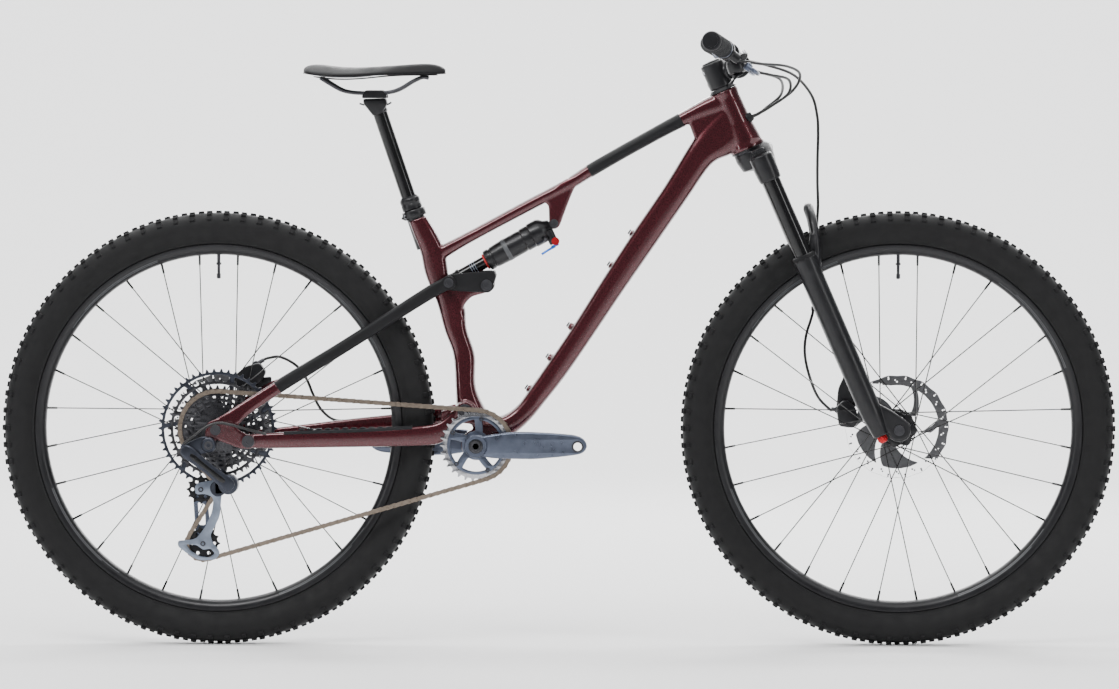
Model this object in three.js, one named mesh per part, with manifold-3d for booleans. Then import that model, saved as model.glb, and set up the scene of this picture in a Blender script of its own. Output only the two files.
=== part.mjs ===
// A full-suspension mountain bike as separate named parts.
// Millimetres. +X points forward, +Z up and -Y to the drive side. The origin is on the ground,
// midway between the two axles.
import * as THREE from 'three';
import { mergeVertices } from 'three/addons/utils/BufferGeometryUtils.js';
import { ConvexGeometry } from 'three/addons/geometries/ConvexGeometry.js';
import Module from 'manifold-3d';

const wasm = await Module();
wasm.setup();

// ---------------------------------------------------------------- driving dimensions
const GAP = 0.3;                       // clearance between pieces that touch
const WHEEL_RADIUS = 375;              // 29 inch wheel with a 2.4 inch tyre
const WHEELBASE = 1173;
const TYRE_WIDTH = 61;
const RIM_OUTER = 317;
const RIM_INNER = 299;
const RIM_WIDTH = 35;
const SPOKES = 28;
const SPOKE_RADIUS = 0.9;
const REAR_HUB_WIDTH = 148;
const FRONT_HUB_WIDTH = 110;
const ROTOR_RADIUS = 90;
const REAR_ROTOR_Y = 57;
const FRONT_ROTOR_Y = 40;
const CRANK_LENGTH = 175;
const CHAIN_PITCH = 12.7;
const CHAINRING_TEETH = 30;
const CASSETTE_TEETH = [10, 12, 14, 16, 18, 21, 24, 28, 32, 36, 42, 50];
const ENGAGED_COG = 8;                 // place of the 32-tooth cog in the list above
const FIRST_COG_Y = -67;
const COG_PITCH = 3.55;
const CHAINLINE = -52;                 // y of the chainring
const STANCHION_RADIUS = 16;
const LEG_RADIUS = 19;
const LEG_Y = 65;
const BAR_WIDTH = 760;
const POST_RADIUS = 12.5;
const POST_SLEEVE_RADIUS = 15.5;

// Centres of the axles and pivots, as (x, z) in the plane of the bike.
const REAR_AXLE = [-WHEELBASE / 2, WHEEL_RADIUS];
const FRONT_AXLE = [WHEELBASE / 2, WHEEL_RADIUS];
const CRANK_CENTRE = [-139.6, 347.5];
const MAIN_PIVOT = [-159.5, 405.7];
const HORST_PIVOT = [-530.5, 355.4];
const SEATSTAY_PIVOT = [-187.6, 626.6];
const ROCKER_PIVOT = [-122.6, 622];
const SHOCK_LOWER = [-175.3, 633.8];
const SHOCK_UPPER = [-6.5, 728.4];
const HEAD_BOTTOM = [328, 856.7];
const HEAD_TOP = [284.6, 956.7];
const POST_TOP = [-311, 930];
const POST_SEAL = [-257.5, 772];       // where the dropper's stanchion enters its sleeve
const BAR_CENTRE = [310, 1000];
const CAGE_PIVOT = [-583.8, 273.3];
const GUIDE_PULLEY = [-614.9, 270.2];
const TENSION_PULLEY = [-611.5, 176.7];

// ---------------------------------------------------------------- colours and finishes
function finish(color, roughness, metalness) {
  return new THREE.MeshStandardMaterial({ color, roughness, metalness });
}
const PAINT = finish(0x4a0d16, 0.25, 0.4);
const MATTE_BLACK = finish(0x17181b, 0.6, 0.2);
const ANODISED = finish(0x4a5060, 0.35, 0.8);
const PLATE_GREY = finish(0x8a93a3, 0.35, 0.8);
const SILVER = finish(0xb9bcc0, 0.3, 0.9);
const DARK_METAL = finish(0x2a2b2e, 0.4, 0.7);
const CHAIN_METAL = finish(0x8f8474, 0.4, 0.8);
const TYRE_RUBBER = finish(0x1c1c1d, 0.9, 0);
const GRIP_RUBBER = finish(0x26272a, 0.85, 0);
const SADDLE_COVER = finish(0x141416, 0.55, 0);
const HOSE = finish(0x0f0f10, 0.5, 0);
const BLUE = finish(0x2458b8, 0.35, 0.6);
const RED = finish(0xb32025, 0.35, 0.5);

// ---------------------------------------------------------------- solids
// A closed geometry as a solid that can be joined and cut, with its faces pointing out.
function solid(geometry) {
  const bare = geometry.clone();
  bare.deleteAttribute('normal');
  bare.deleteAttribute('uv');
  const merged = mergeVertices(bare, 1e-3);
  const points = merged.attributes.position.array;
  let index = Uint32Array.from(merged.index.array);
  if (signedVolume(points, index) < 0) index = index.reverse();
  return new wasm.Manifold(new wasm.Mesh({ numProp: 3, vertProperties: points, triVerts: index }));
}

function signedVolume(points, index) {
  const a = new THREE.Vector3();
  const b = new THREE.Vector3();
  const c = new THREE.Vector3();
  let sum = 0;
  for (let i = 0; i < index.length; i += 3) {
    a.fromArray(points, 3 * index[i]);
    b.fromArray(points, 3 * index[i + 1]);
    c.fromArray(points, 3 * index[i + 2]);
    sum += a.dot(b.cross(c));
  }
  return sum;
}

function join(...solids) {
  return solids.reduce((all, next) => all.add(next));
}

function cut(base, ...tools) {
  return tools.reduce((left, tool) => left.subtract(tool), base);
}

// One named part from a solid.
function part(name, body, material) {
  const mesh = body.getMesh();
  const geometry = new THREE.BufferGeometry();
  geometry.setAttribute('position', new THREE.BufferAttribute(mesh.vertProperties, 3));
  geometry.setIndex(new THREE.BufferAttribute(mesh.triVerts, 1));
  geometry.computeVertexNormals();
  const piece = new THREE.Mesh(geometry, material);
  piece.name = name;
  return piece;
}

function group(x, z, ...children) {
  const holder = new THREE.Group();
  holder.position.set(x, 0, z);
  holder.add(...children);
  return holder;
}

// ---------------------------------------------------------------- shapes
// A point from its (x, z) place in the plane of the bike and its y.
function at([x, z], y = 0) {
  return new THREE.Vector3(x, y, z);
}

function along(a, b, distance) {
  return a.clone().addScaledVector(b.clone().sub(a).normalize(), distance);
}

// A round bar from a to b, with radius r at a and tip at b.
function bar(a, b, r, tip = r, sides = 10) {
  const geometry = new THREE.CylinderGeometry(tip, r, a.distanceTo(b), sides);
  const direction = b.clone().sub(a).normalize();
  const up = new THREE.Vector3(0, 1, 0);
  geometry.applyQuaternion(new THREE.Quaternion().setFromUnitVectors(up, direction));
  const middle = a.clone().lerp(b, 0.5);
  geometry.translate(middle.x, middle.y, middle.z);
  return solid(geometry);
}

// A bar across the bike, from y0 to y1.
function cross(centre, y0, y1, r, tip = r, sides = 12) {
  return bar(at(centre, y0), at(centre, y1), r, tip, sides);
}

function hull(...points) {
  return solid(new ConvexGeometry(points));
}

// A flat plate with an outline of (x, z) points, from y0 to y1.
function plate(outline, y0, y1) {
  const shape = new THREE.Shape(outline.map(([x, z]) => new THREE.Vector2(x, z)));
  const geometry = new THREE.ExtrudeGeometry(shape, { depth: y1 - y0, bevelEnabled: false });
  geometry.rotateX(Math.PI / 2);
  geometry.translate(0, y1, 0);
  return solid(geometry);
}

// A solid of revolution about the Y axis, from (radius, y) points that close on themselves.
function turned(profile, segments) {
  const points = [...profile, profile[0]].map(([r, y]) => new THREE.Vector2(r, y));
  return solid(new THREE.LatheGeometry(points, segments));
}

// A round cord or tube along a smooth curve through the points.
function cord(points, radius, steps, sides = 8) {
  const shape = new THREE.Shape();
  for (let i = 0; i < sides; i += 1) {
    const angle = (2 * Math.PI * i) / sides;
    const corner = [radius * Math.cos(angle), radius * Math.sin(angle)];
    if (i === 0) shape.moveTo(...corner);
    else shape.lineTo(...corner);
  }
  const path = new THREE.CatmullRomCurve3(points);
  return solid(new THREE.ExtrudeGeometry(shape, { steps, extrudePath: path, bevelEnabled: false }));
}

// A tube of changing section. Each station gives its upper and lower edge as (x, z), the y of
// its middle and its width. The section is a rectangle whose corners are cut by `chamfer`.
function creased(stations, chamfer = 0.3) {
  const rings = stations.map(({ upper, lower, y = 0, width }) => {
    const middle = at(upper, y).lerp(at(lower, y), 0.5);
    const rise = at(upper, y).sub(middle);
    const side = new THREE.Vector3(0, width / 2, 0);
    const full = 1 - chamfer;
    const corners = [[1, full], [full, 1], [-full, 1], [-1, full], [-1, -full], [-full, -1],
      [full, -1], [1, -full]];
    return corners.map(([up, out]) => middle.clone().addScaledVector(rise, up)
      .addScaledVector(side, out));
  });
  return loft(rings);
}

// A closed skin over rings of equally many points.
function loft(rings) {
  const count = rings[0].length;
  const points = rings.flat();
  const index = [];
  for (let ring = 0; ring + 1 < rings.length; ring += 1) {
    for (let i = 0; i < count; i += 1) {
      const a = ring * count + i;
      const b = ring * count + ((i + 1) % count);
      index.push(a, b, a + count, b, b + count, a + count);
    }
  }
  const last = (rings.length - 1) * count;
  for (let i = 1; i + 1 < count; i += 1) {
    index.push(0, i + 1, i, last, last + i, last + i + 1);
  }
  const geometry = new THREE.BufferGeometry().setFromPoints(points);
  geometry.setIndex(index);
  return solid(geometry);
}

// A round tube through the points, with a radius at each. Its rings stand square to the route.
// `reference` is any direction that the route never follows.
function pipe(points, radii, reference, sides = 8) {
  const rings = points.map((point, i) => {
    const before = points[Math.max(i - 1, 0)];
    const after = points[Math.min(i + 1, points.length - 1)];
    const heading = after.clone().sub(before).normalize();
    const u = new THREE.Vector3().crossVectors(heading, reference).normalize();
    const v = new THREE.Vector3().crossVectors(u, heading);
    return Array.from({ length: sides }, (_, k) => {
      const angle = (2 * Math.PI * k) / sides;
      return point.clone().addScaledVector(u, radii[i] * Math.cos(angle))
        .addScaledVector(v, radii[i] * Math.sin(angle));
    });
  });
  return loft(rings);
}

function mirrored(body) {
  return body.mirror([0, 1, 0]);
}

function teethRadius(teeth) {
  return CHAIN_PITCH / (2 * Math.sin(Math.PI / teeth));
}

// ---------------------------------------------------------------- wheels
const WHEEL_SEGMENTS = 32;
const TOOTH_HEIGHT = 2;

function tyre() {
  const half = TYRE_WIDTH / 2;
  const bead = RIM_WIDTH / 2 - 2.6;
  const outside = [[311.3, bead], [317.6, bead + 0.1], [332, half - 3.5], [348, half],
    [366, half - 9]];
  const inside = [[370, 0], [348, -(half - 4)], [311.3, -(bead - 3.3)]];
  const left = outside.map(([r, y]) => [r, -y]);
  const profile = [...left, [WHEEL_RADIUS, 0], ...outside.reverse(),
    ...inside.slice().reverse().map(([r, y]) => [r, -y]), ...inside.slice(1)];
  return turned(profile, WHEEL_SEGMENTS);
}

function rim() {
  const half = RIM_WIDTH / 2;
  const profile = [[RIM_INNER, -9], [RIM_OUTER - 8, -half], [RIM_OUTER, -half],
    [RIM_OUTER, -half + 2.2], [RIM_OUTER - 6.4, -half + 2.2], [RIM_OUTER - 6.4, half - 2.2],
    [RIM_OUTER, half - 2.2], [RIM_OUTER, half], [RIM_OUTER - 8, half], [RIM_INNER, 9]];
  return turned(profile, WHEEL_SEGMENTS);
}

// Three-cross lacing. The spokes of one flange leave it forwards and backwards by turns, on the
// outer and inner face of the flange. A thin band holds the nipples.
function spokes(flanges) {
  const holeRadius = 28.5;
  const faceOffset = 4.3;
  const tip = RIM_INNER - 2.2;
  const sweep = 3 * ((4 * Math.PI) / SPOKES);
  const band = turned([[tip - 1, -4], [tip + 1.6, -4], [tip + 1.6, 4], [tip - 1, 4]],
    WHEEL_SEGMENTS);
  let all = band;
  for (let i = 0; i < SPOKES; i += 1) {
    const side = i % 2;
    const leading = Math.floor(i / 2) % 2 === 0 ? 1 : -1;
    const rimAngle = (2 * Math.PI * (i + 0.5)) / SPOKES + Math.PI / 2;
    const hubAngle = rimAngle + leading * sweep;
    const outward = leading > 0 ? 1 : -1;
    const y = flanges[side] + Math.sign(flanges[side]) * outward * faceOffset;
    const start = new THREE.Vector3(holeRadius * Math.cos(hubAngle), y,
      holeRadius * Math.sin(hubAngle));
    const end = new THREE.Vector3(tip * Math.cos(rimAngle), Math.sign(y) * 2,
      tip * Math.sin(rimAngle));
    all = all.add(bar(start, end, SPOKE_RADIUS, SPOKE_RADIUS, 3));
  }
  return all;
}

function rotor(y) {
  const ring = turned([[ROTOR_RADIUS - 16, y - 0.9], [ROTOR_RADIUS, y - 0.9],
    [ROTOR_RADIUS, y + 0.9], [ROTOR_RADIUS - 16, y + 0.9]], 24);
  const carrier = turned([[17, y - 1.5], [24, y - 1.5], [24, y + 1.5], [17, y + 1.5]], 12);
  let all = ring.add(carrier);
  for (let i = 0; i < 6; i += 1) {
    const angle = (Math.PI * i) / 3;
    const outer = angle + 0.5;
    const arm = bar(new THREE.Vector3(20 * Math.cos(angle), y, 20 * Math.sin(angle)),
      new THREE.Vector3(78 * Math.cos(outer), y, 78 * Math.sin(outer)), 5, 5, 4);
    const slice = turned([[18, y - 0.9], [80, y - 0.9], [80, y + 0.9], [18, y + 0.9]], 12);
    all = all.add(arm.intersect(slice));
  }
  return all;
}

// Hub shell with a bore for the axle, two spoke flanges and a seat for the rotor.
function hub(halfWidth, flanges, rotorY, driverEnd) {
  const [left, right] = flanges;
  const driver = driverEnd ? [[6.4, -halfWidth], [10, -halfWidth], [10, driverEnd], [17, driverEnd],
    [17, right - 7]] : [[6.4, -halfWidth], [10, -halfWidth], [12, right - 7]];
  return turned([...driver, [21, right - 2], [30, right - 2], [30, right + 2], [21, right + 2],
    [15, right + 7], [15, left - 7], [21, left - 2], [30, left - 2], [30, left + 2], [21, left + 2],
    [16, left + 6], [16.4, rotorY + 3], [10, rotorY + 4], [10, halfWidth], [6.4, halfWidth]], 12);
}

const REAR_FLANGES = [33, -20];
const FRONT_FLANGES = [26, -34];

function wheel(prefix, centre, halfWidth, flanges, rotorY, driverEnd) {
  return group(...centre,
    part(`${prefix}_tyre`, tyre(), TYRE_RUBBER),
    part(`${prefix}_rim`, rim(), MATTE_BLACK),
    part(`${prefix}_hub`, hub(halfWidth, flanges, rotorY, driverEnd), MATTE_BLACK),
    part(`${prefix}_spokes`, spokes(flanges), DARK_METAL),
    part(`${prefix}_rotor`, rotor(rotorY), SILVER));
}

// ---------------------------------------------------------------- frame
const HEAD_DOWN = at(HEAD_BOTTOM).sub(at(HEAD_TOP)).normalize();
const HEAD_FORWARD = new THREE.Vector3(-HEAD_DOWN.z, 0, HEAD_DOWN.x);
const POST_DOWN = at(POST_SEAL).sub(at(POST_TOP)).normalize();
const SLEEVE_LENGTH = 205;
const BOTTLE_BOSSES = [[126, 712], [90, 657], [20, 552], [-16, 498], [-52, 444]];
const PIVOT_BOSS_Y = 33;

function mainFrame() {
  const topTube = creased([
    { upper: [-205, 690], lower: [-195, 672], width: 34 },
    { upper: [-160, 713], lower: [-151, 696], width: 40 },
    { upper: [11, 803], lower: [20, 786], width: 44 },
    { upper: [53, 831], lower: [62, 813], width: 44 },
    { upper: [213, 921], lower: [224, 901], width: 42 },
    { upper: [286, 962], lower: [305, 925], width: 40 },
  ]);
  const downTube = creased([
    { upper: [262, 930], lower: [318, 858], width: 46 },
    { upper: [225, 862], lower: [266, 832], width: 52 },
    { upper: [184, 794], lower: [222, 769], width: 54 },
    { upper: [127, 710], lower: [164, 685], width: 54 },
    { upper: [24, 549], lower: [57, 528], width: 54 },
    { upper: [-49, 443], lower: [-19, 422], width: 58 },
    { upper: [-84, 405], lower: [-52, 384], width: 64 },
    { upper: [-150, 385], lower: [-118, 330], width: 70 },
  ]);
  const seatTube = creased([
    { upper: [-260, 730], lower: [-226, 742], width: 36 },
    { upper: [-230, 646], lower: [-191, 652], width: 38 },
    { upper: [-222, 620], lower: [-190, 620], width: 38 },
    { upper: [-213, 597], lower: [-162, 589], width: 40 },
    { upper: [-196, 543], lower: [-157, 545], width: 42 },
    { upper: [-179, 494], lower: [-142, 496], width: 46 },
    { upper: [-177, 440], lower: [-140, 440], width: 56 },
    { upper: [-175, 380], lower: [-110, 380], width: 64 },
  ], 0.35);
  const lobe = plate([[-195, 560], [-163, 562], [-165, 578], [-160, 590], [-149, 602], [-123, 609],
    [-112, 614], [-111, 627], [-118, 634], [-130, 632], [-146, 617], [-165, 612], [-195, 612]],
  -18, 18);
  const gusset = plate([[-26, 768], [-16, 759], [-15, 727], [-10, 718], [2, 720], [16, 759],
    [29, 791], [45, 806], [62, 818], [30, 812], [0, 796]], -20, 20);
  const headTube = bar(at(HEAD_TOP), at(HEAD_BOTTOM), 25, 30.5, 16);
  const headWeb = plate([[222, 900], [240, 930], [280, 950], [316, 862], [282, 845], [255, 850],
    [238, 870]], -20, 20);
  const headRoom = bar(at(HEAD_TOP), at(HEAD_TOP).addScaledVector(HEAD_DOWN, -30), 34, 34, 12);
  const tabCut = plate([[-40, 700], [-40, 760], [14, 760], [14, 700]], -12.5, 12.5);
  let all = join(topTube, downTube, seatTube, lobe, gusset, headTube, headWeb,
    cross(CRANK_CENTRE, -36.5, 36.5, 27, 27, 16), cross(MAIN_PIVOT, -PIVOT_BOSS_Y, PIVOT_BOSS_Y, 17),
    cross(ROCKER_PIVOT, -21, 21, 12), cross([-6.5, 728.4], -20, 20, 10));
  for (const [x, z] of BOTTLE_BOSSES) {
    const out = new THREE.Vector3(-0.834, 0, 0.551);
    const foot = at([x, z]).addScaledVector(out, -6);
    all = all.add(bar(foot, at([x, z]).addScaledVector(out, 2.5), 6, 6, 6));
  }
  const steererBore = bar(along(at(HEAD_TOP), at(HEAD_BOTTOM), -5),
    along(at(HEAD_BOTTOM), at(HEAD_TOP), -5), 20.4, 20.4, 16);
  const sleeveBore = bar(along(at(POST_SEAL), at(POST_TOP), 40),
    along(at(POST_SEAL), at(POST_TOP), -SLEEVE_LENGTH - 2), POST_SLEEVE_RADIUS + GAP,
    POST_SLEEVE_RADIUS + GAP, 16);
  return cut(all, tabCut, headRoom, steererBore, sleeveBore, cross(CRANK_CENTRE, -50, 50, 21, 21, 16),
    cross(MAIN_PIVOT, -50, 50, 8.3), cross(ROCKER_PIVOT, -50, 50, 6.3),
    cross(SHOCK_UPPER, -12.4, 12.4, 15));
}

function bottomBracket() {
  const sleeve = turned([[12.4, -46], [22.5, -46], [22.5, -36.8], [20.6, -36.8], [20.6, 36.8],
    [22.5, 36.8], [22.5, 46], [12.4, 46]], 16);
  return sleeve.translate([CRANK_CENTRE[0], 0, CRANK_CENTRE[1]]);
}

function seatClamp() {
  const top = along(at(POST_SEAL), at(POST_TOP), -22);
  const bottom = along(at(POST_SEAL), at(POST_TOP), -35);
  const ring = bar(bottom, top, 20, 20, 16);
  const ear = bar(at([-262, 739], 0).setY(-12), at([-262, 739], 0).setY(12), 6, 6, 10);
  const bore = bar(bottom.clone().addScaledVector(POST_DOWN, 3),
    top.clone().addScaledVector(POST_DOWN, -3), POST_SLEEVE_RADIUS + GAP,
    POST_SLEEVE_RADIUS + GAP, 16);
  return cut(ring.add(ear), bore);
}

// Fixed outer tube of the dropper post, with the collar that its stanchion slides in.
function postSleeve() {
  const seal = at(POST_SEAL);
  const foot = seal.clone().addScaledVector(POST_DOWN, SLEEVE_LENGTH);
  const tube = bar(foot, seal, POST_SLEEVE_RADIUS, POST_SLEEVE_RADIUS, 16);
  const collar = bar(seal.clone().addScaledVector(POST_DOWN, 21.5), seal, 17, 17, 16);
  const bore = bar(foot.clone().addScaledVector(POST_DOWN, 5),
    seal.clone().addScaledVector(POST_DOWN, -5), POST_RADIUS + GAP, POST_RADIUS + GAP, 16);
  return cut(tube.add(collar), bore);
}

function pivotAxle(centre, half, radius, headRadius, headFrom) {
  return join(cross(centre, -half, half, radius), cross(centre, headFrom, half, headRadius),
    cross(centre, -half, -headFrom, headRadius));
}

// ---------------------------------------------------------------- rear triangle
const STAY_FACE = 74;                  // inner faces of the dropouts
const EYE_WIDTH = 10.5;

// Both chainstays with their yoke, their pivot eyes and the bolts of the rear pivots.
function chainstay() {
  const right = creased([
    { upper: [-185, 404], lower: [-180, 380], y: -39.9, width: 12 },
    { upper: [-205, 388], lower: [-205, 351], y: -40, width: 12 },
    { upper: [-235, 380], lower: [-235, 347], y: -41.5, width: 12 },
    { upper: [-300, 376], lower: [-300, 345], y: -50, width: 14 },
    { upper: [-400, 373], lower: [-400, 344], y: -60, width: 14 },
    { upper: [-490, 370], lower: [-490, 343], y: -67, width: 12 },
    { upper: [-530, 367], lower: [-530, 343.5], y: -68.7, width: 10 },
  ]);
  const left = mirrored(creased([
    { upper: [-185, 412], lower: [-180, 384], y: -39.9, width: 12 },
    { upper: [-235, 402], lower: [-235, 374], y: -41.5, width: 12 },
    { upper: [-300, 394], lower: [-300, 367], y: -50, width: 14 },
    { upper: [-362, 387], lower: [-362, 360], y: -57, width: 14 },
    { upper: [-490, 371], lower: [-490, 345], y: -67, width: 12 },
    { upper: [-530, 367], lower: [-530, 343.5], y: -68.7, width: 10 },
  ]));
  const pivotEyes = [1, -1].map((side) => join(
    cross(MAIN_PIVOT, side * (PIVOT_BOSS_Y + 0.5), side * 46, 16),
    plate([[-160, 421], [-188, 411], [-186, 381], [-160, 390]], side > 0 ? 33.5 : -46,
      side > 0 ? 46 : -33.5)));
  const horstEyes = [1, -1].map((side) => cross(HORST_PIVOT, side * (STAY_FACE - GAP),
    side * (STAY_FACE - GAP - EYE_WIDTH), 12));
  const bridge = plate([[-202, 388], [-202, 405], [-185, 411], [-182, 398], [-184, 386]], -40, 40);
  const bolts = [1, -1].map((side) => join(
    cross(HORST_PIVOT, side * (STAY_FACE - GAP - EYE_WIDTH - 3), side * 84, 5),
    cross(HORST_PIVOT, side * 82.4, side * 86, 11)));
  const all = join(right, left, ...pivotEyes, ...horstEyes, ...bolts, bridge);
  return cut(all, cross(MAIN_PIVOT, -60, 60, 8.3));
}

// The dropouts and the two stays, joined behind the seat tube by a bridge.
function seatstay() {
  const stay = creased([
    { upper: [-590, 391], lower: [-552, 374], y: -78.1, width: 7.4 },
    { upper: [-573, 401], lower: [-546, 385], y: -78, width: 7.4 },
    { upper: [-545, 420], lower: [-524, 405], y: -71, width: 12 },
    { upper: [-478, 462], lower: [-467, 444], y: -62, width: 14 },
    { upper: [-390, 515], lower: [-380, 497], y: -54, width: 14 },
    { upper: [-300, 572], lower: [-289, 554], y: -44, width: 14 },
    { upper: [-225, 620], lower: [-214, 600], y: -36, width: 12 },
    { upper: [-196, 636], lower: [-186, 615], y: -35.3, width: 9.4 },
  ]);
  const dropout = plate([[-603, 371], [-597, 362], [-560, 350], [-544, 343], [-525, 343],
    [-518, 352], [-521, 364], [-534, 368], [-550, 377], [-556, 394], [-590, 393], [-601, 386]],
  -82, -STAY_FACE - GAP);
  const tip = cross(SEATSTAY_PIVOT, -40, -30.6, 12);
  const half = join(stay, dropout, tip);
  const bridgeCorner = (radius, angle) => [REAR_AXLE[0] + radius * Math.cos(angle),
    REAR_AXLE[1] + radius * Math.sin(angle)];
  const bridge = plate([bridgeCorner(376.5, 0.56), bridgeCorner(382.5, 0.56),
    bridgeCorner(382.5, 0.6), bridgeCorner(376.5, 0.6)], -40, 40);
  const hanger = plate([[-603, 375], [-590, 375], [-586, 348], [-604, 347]], -82, -STAY_FACE - GAP);
  const all = join(half, mirrored(half), bridge, hanger);
  return cut(all, cross(REAR_AXLE, -90, 90, 6.4), cross(HORST_PIVOT, -90, 90, 5.3));
}

function rearAxle() {
  return join(cross(REAR_AXLE, -83, 88, 6), cross(REAR_AXLE, 82.4, 90, 11),
    cross(REAR_AXLE, -86, -82.4, 9.5));
}

function rearCaliper() {
  const body = plate([[-560, 440], [-520, 448], [-508, 468], [-520, 486], [-545, 478],
    [-566, 462]], 46, 68);
  const foot = plate([[-560, 440], [-520, 448], [-500, 452], [-560, 415]], 62, 68);
  const slot = disc(REAR_AXLE, ROTOR_RADIUS + 3, REAR_ROTOR_Y - 2.5, REAR_ROTOR_Y + 2.5);
  const banjo = bar(new THREE.Vector3(-525, 66, 480), new THREE.Vector3(-536, 66, 486), 5);
  return cut(join(body, foot, banjo), slot);
}

// ---------------------------------------------------------------- rocker and shock
const ROCKER_FACE = 22.4;
const ROCKER_OUT = 30;

function rocker() {
  const outline = [[-199, 622], [-196, 634], [-186, 640], [-112, 646], [-107, 638], [-113, 616],
    [-122, 611], [-182, 613], [-193, 616]];
  const half = plate(outline, -ROCKER_OUT, -ROCKER_FACE);
  const bridge = plate([[-116, 637], [-117, 644], [-110, 645], [-107, 638]], -26, 26);
  return cut(join(half, mirrored(half), bridge), cross(ROCKER_PIVOT, -50, 50, 6.3));
}

const SHOCK_STEP = at(SHOCK_UPPER).sub(at(SHOCK_LOWER)).normalize();

function shockPoint(distance) {
  return at(SHOCK_LOWER).addScaledVector(SHOCK_STEP, distance);
}

function shockBody() {
  const can = bar(shockPoint(64), shockPoint(152), 17, 19.5, 16);
  const head = bar(shockPoint(150), shockPoint(176), 22, 20, 16);
  const neck = bar(shockPoint(170), shockPoint(190), 11, 9, 10);
  const eye = cross(SHOCK_UPPER, -12, 12, 9.5);
  const spool = bar(new THREE.Vector3(-16, -7, 714), new THREE.Vector3(-6, -7, 693), 6, 6, 10);
  const bore = bar(shockPoint(50), shockPoint(146), 11.4, 11.4, 16);
  return cut(join(can, head, neck, eye, spool), bore);
}

function shockShaft() {
  const shaft = bar(shockPoint(6), shockPoint(92), 11, 11, 16);
  return join(shaft, cross(SHOCK_LOWER, -22, 22, 8), cross(SHOCK_LOWER, -12, 12, 11));
}

function shockLever() {
  return join(bar(new THREE.Vector3(-5.7, -7, 692.1), new THREE.Vector3(-4.2, -7, 688.9), 7, 7, 10),
    bar(new THREE.Vector3(-5, -7, 688.5), new THREE.Vector3(-26, -9, 677), 3, 3, 8));
}

// ---------------------------------------------------------------- drivetrain
function crankArm(side) {
  const y = (value) => side * value;
  const ring = (x, top, low, y0, y1) => [new THREE.Vector3(x, y(y0), top),
    new THREE.Vector3(x, y(y1), top), new THREE.Vector3(x, y(y1), low),
    new THREE.Vector3(x, y(y0), low)];
  const length = CRANK_LENGTH;
  const root = ring(0, 17, -17, 62, 78);
  const third = ring(60, 22, -21, 63, 79);
  const two = ring(length - 30, 20, -17, 71, 84);
  const end = ring(length + 6, 16, -14, 74, 86);
  const tip = ring(length + 17, 6, -5, 74, 86);
  const boss = bar(new THREE.Vector3(0, y(59), 0), new THREE.Vector3(0, y(82), 0), 20, 19, 16);
  const arm = join(boss, hull(...root, ...third), hull(...third, ...two), hull(...two, ...end),
    hull(...end, ...tip));
  const pedalHole = bar(new THREE.Vector3(length, y(60), 0), new THREE.Vector3(length, y(100), 0),
    7, 7, 12);
  return cut(arm, pedalHole);
}

// Drive-side arm with the spindle that runs through the bottom bracket.
function driveArm() {
  const spindle = bar(new THREE.Vector3(0, -61, 0), new THREE.Vector3(0, 58.6, 0), 12, 12, 16);
  const body = crankArm(-1).add(spindle);
  return part('crank_arm_right', body, ANODISED);
}

function plainArm() {
  const socket = bar(new THREE.Vector3(0, 40, 0), new THREE.Vector3(0, 62, 0), 12.4, 12.4, 16);
  const piece = part('crank_arm_left', cut(crankArm(1), socket), ANODISED);
  piece.rotation.y = Math.PI;
  return piece;
}

function chainring() {
  const tip = teethRadius(CHAINRING_TEETH) + TOOTH_HEIGHT;
  const ring = turned([[tip - 13, CHAINLINE - 1.2], [tip, CHAINLINE - 1.2], [tip, CHAINLINE + 1.2],
    [tip - 13, CHAINLINE + 1.2]], CHAINRING_TEETH);
  const middle = turned([[12.5, -58.6], [19, -58.6], [21, CHAINLINE + 1.2], [12.5, CHAINLINE + 1.2]],
    16);
  let all = ring.add(middle);
  for (let i = 0; i < 5; i += 1) {
    const angle = (2 * Math.PI * i) / 5 + 0.3;
    const inner = new THREE.Vector3(17 * Math.cos(angle), CHAINLINE - 3, 17 * Math.sin(angle));
    const outer = new THREE.Vector3(54 * Math.cos(angle), CHAINLINE, 54 * Math.sin(angle));
    all = all.add(bar(inner, outer, 7, 6, 4));
  }
  const inside = turned([[10, CHAINLINE + 1.2], [90, CHAINLINE + 1.2], [90, CHAINLINE + 20],
    [10, CHAINLINE + 20]], 16);
  const outside = turned([[8, -80], [90, -80], [90, -58.7], [8, -58.7]], 16);
  return part('chainring', cut(all, inside, outside), SILVER);
}

const CASSETTE_SEGMENTS = 18;

function cogY(place) {
  return FIRST_COG_Y + place * COG_PITCH;
}

function cassette() {
  const half = 0.8;
  const steps = CASSETTE_TEETH.flatMap((teeth, place) => {
    const radius = teethRadius(teeth) + TOOTH_HEIGHT;
    const last = place === CASSETTE_TEETH.length - 1;
    return [[radius, cogY(place) - half], [radius, last ? cogY(place) + half : cogY(place + 1) - half]];
  });
  const inner = cogY(CASSETTE_TEETH.length - 1) + half;
  return part('cassette', turned([[17.4, cogY(0) - half], ...steps, [17.4, inner]],
    CASSETTE_SEGMENTS), DARK_METAL);
}

// The chain as one band along its real route: chainring, upper run, engaged cog, guide pulley,
// tension pulley and lower run. It is cut where the teeth stand in it.
const PULLEY_Y = cogY(ENGAGED_COG);
const BAND = 4.2;                      // half the height of the band
const BAND_WIDTH = 5;
const GUIDE_TEETH = 12;
const TENSION_TEETH = 14;

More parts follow.
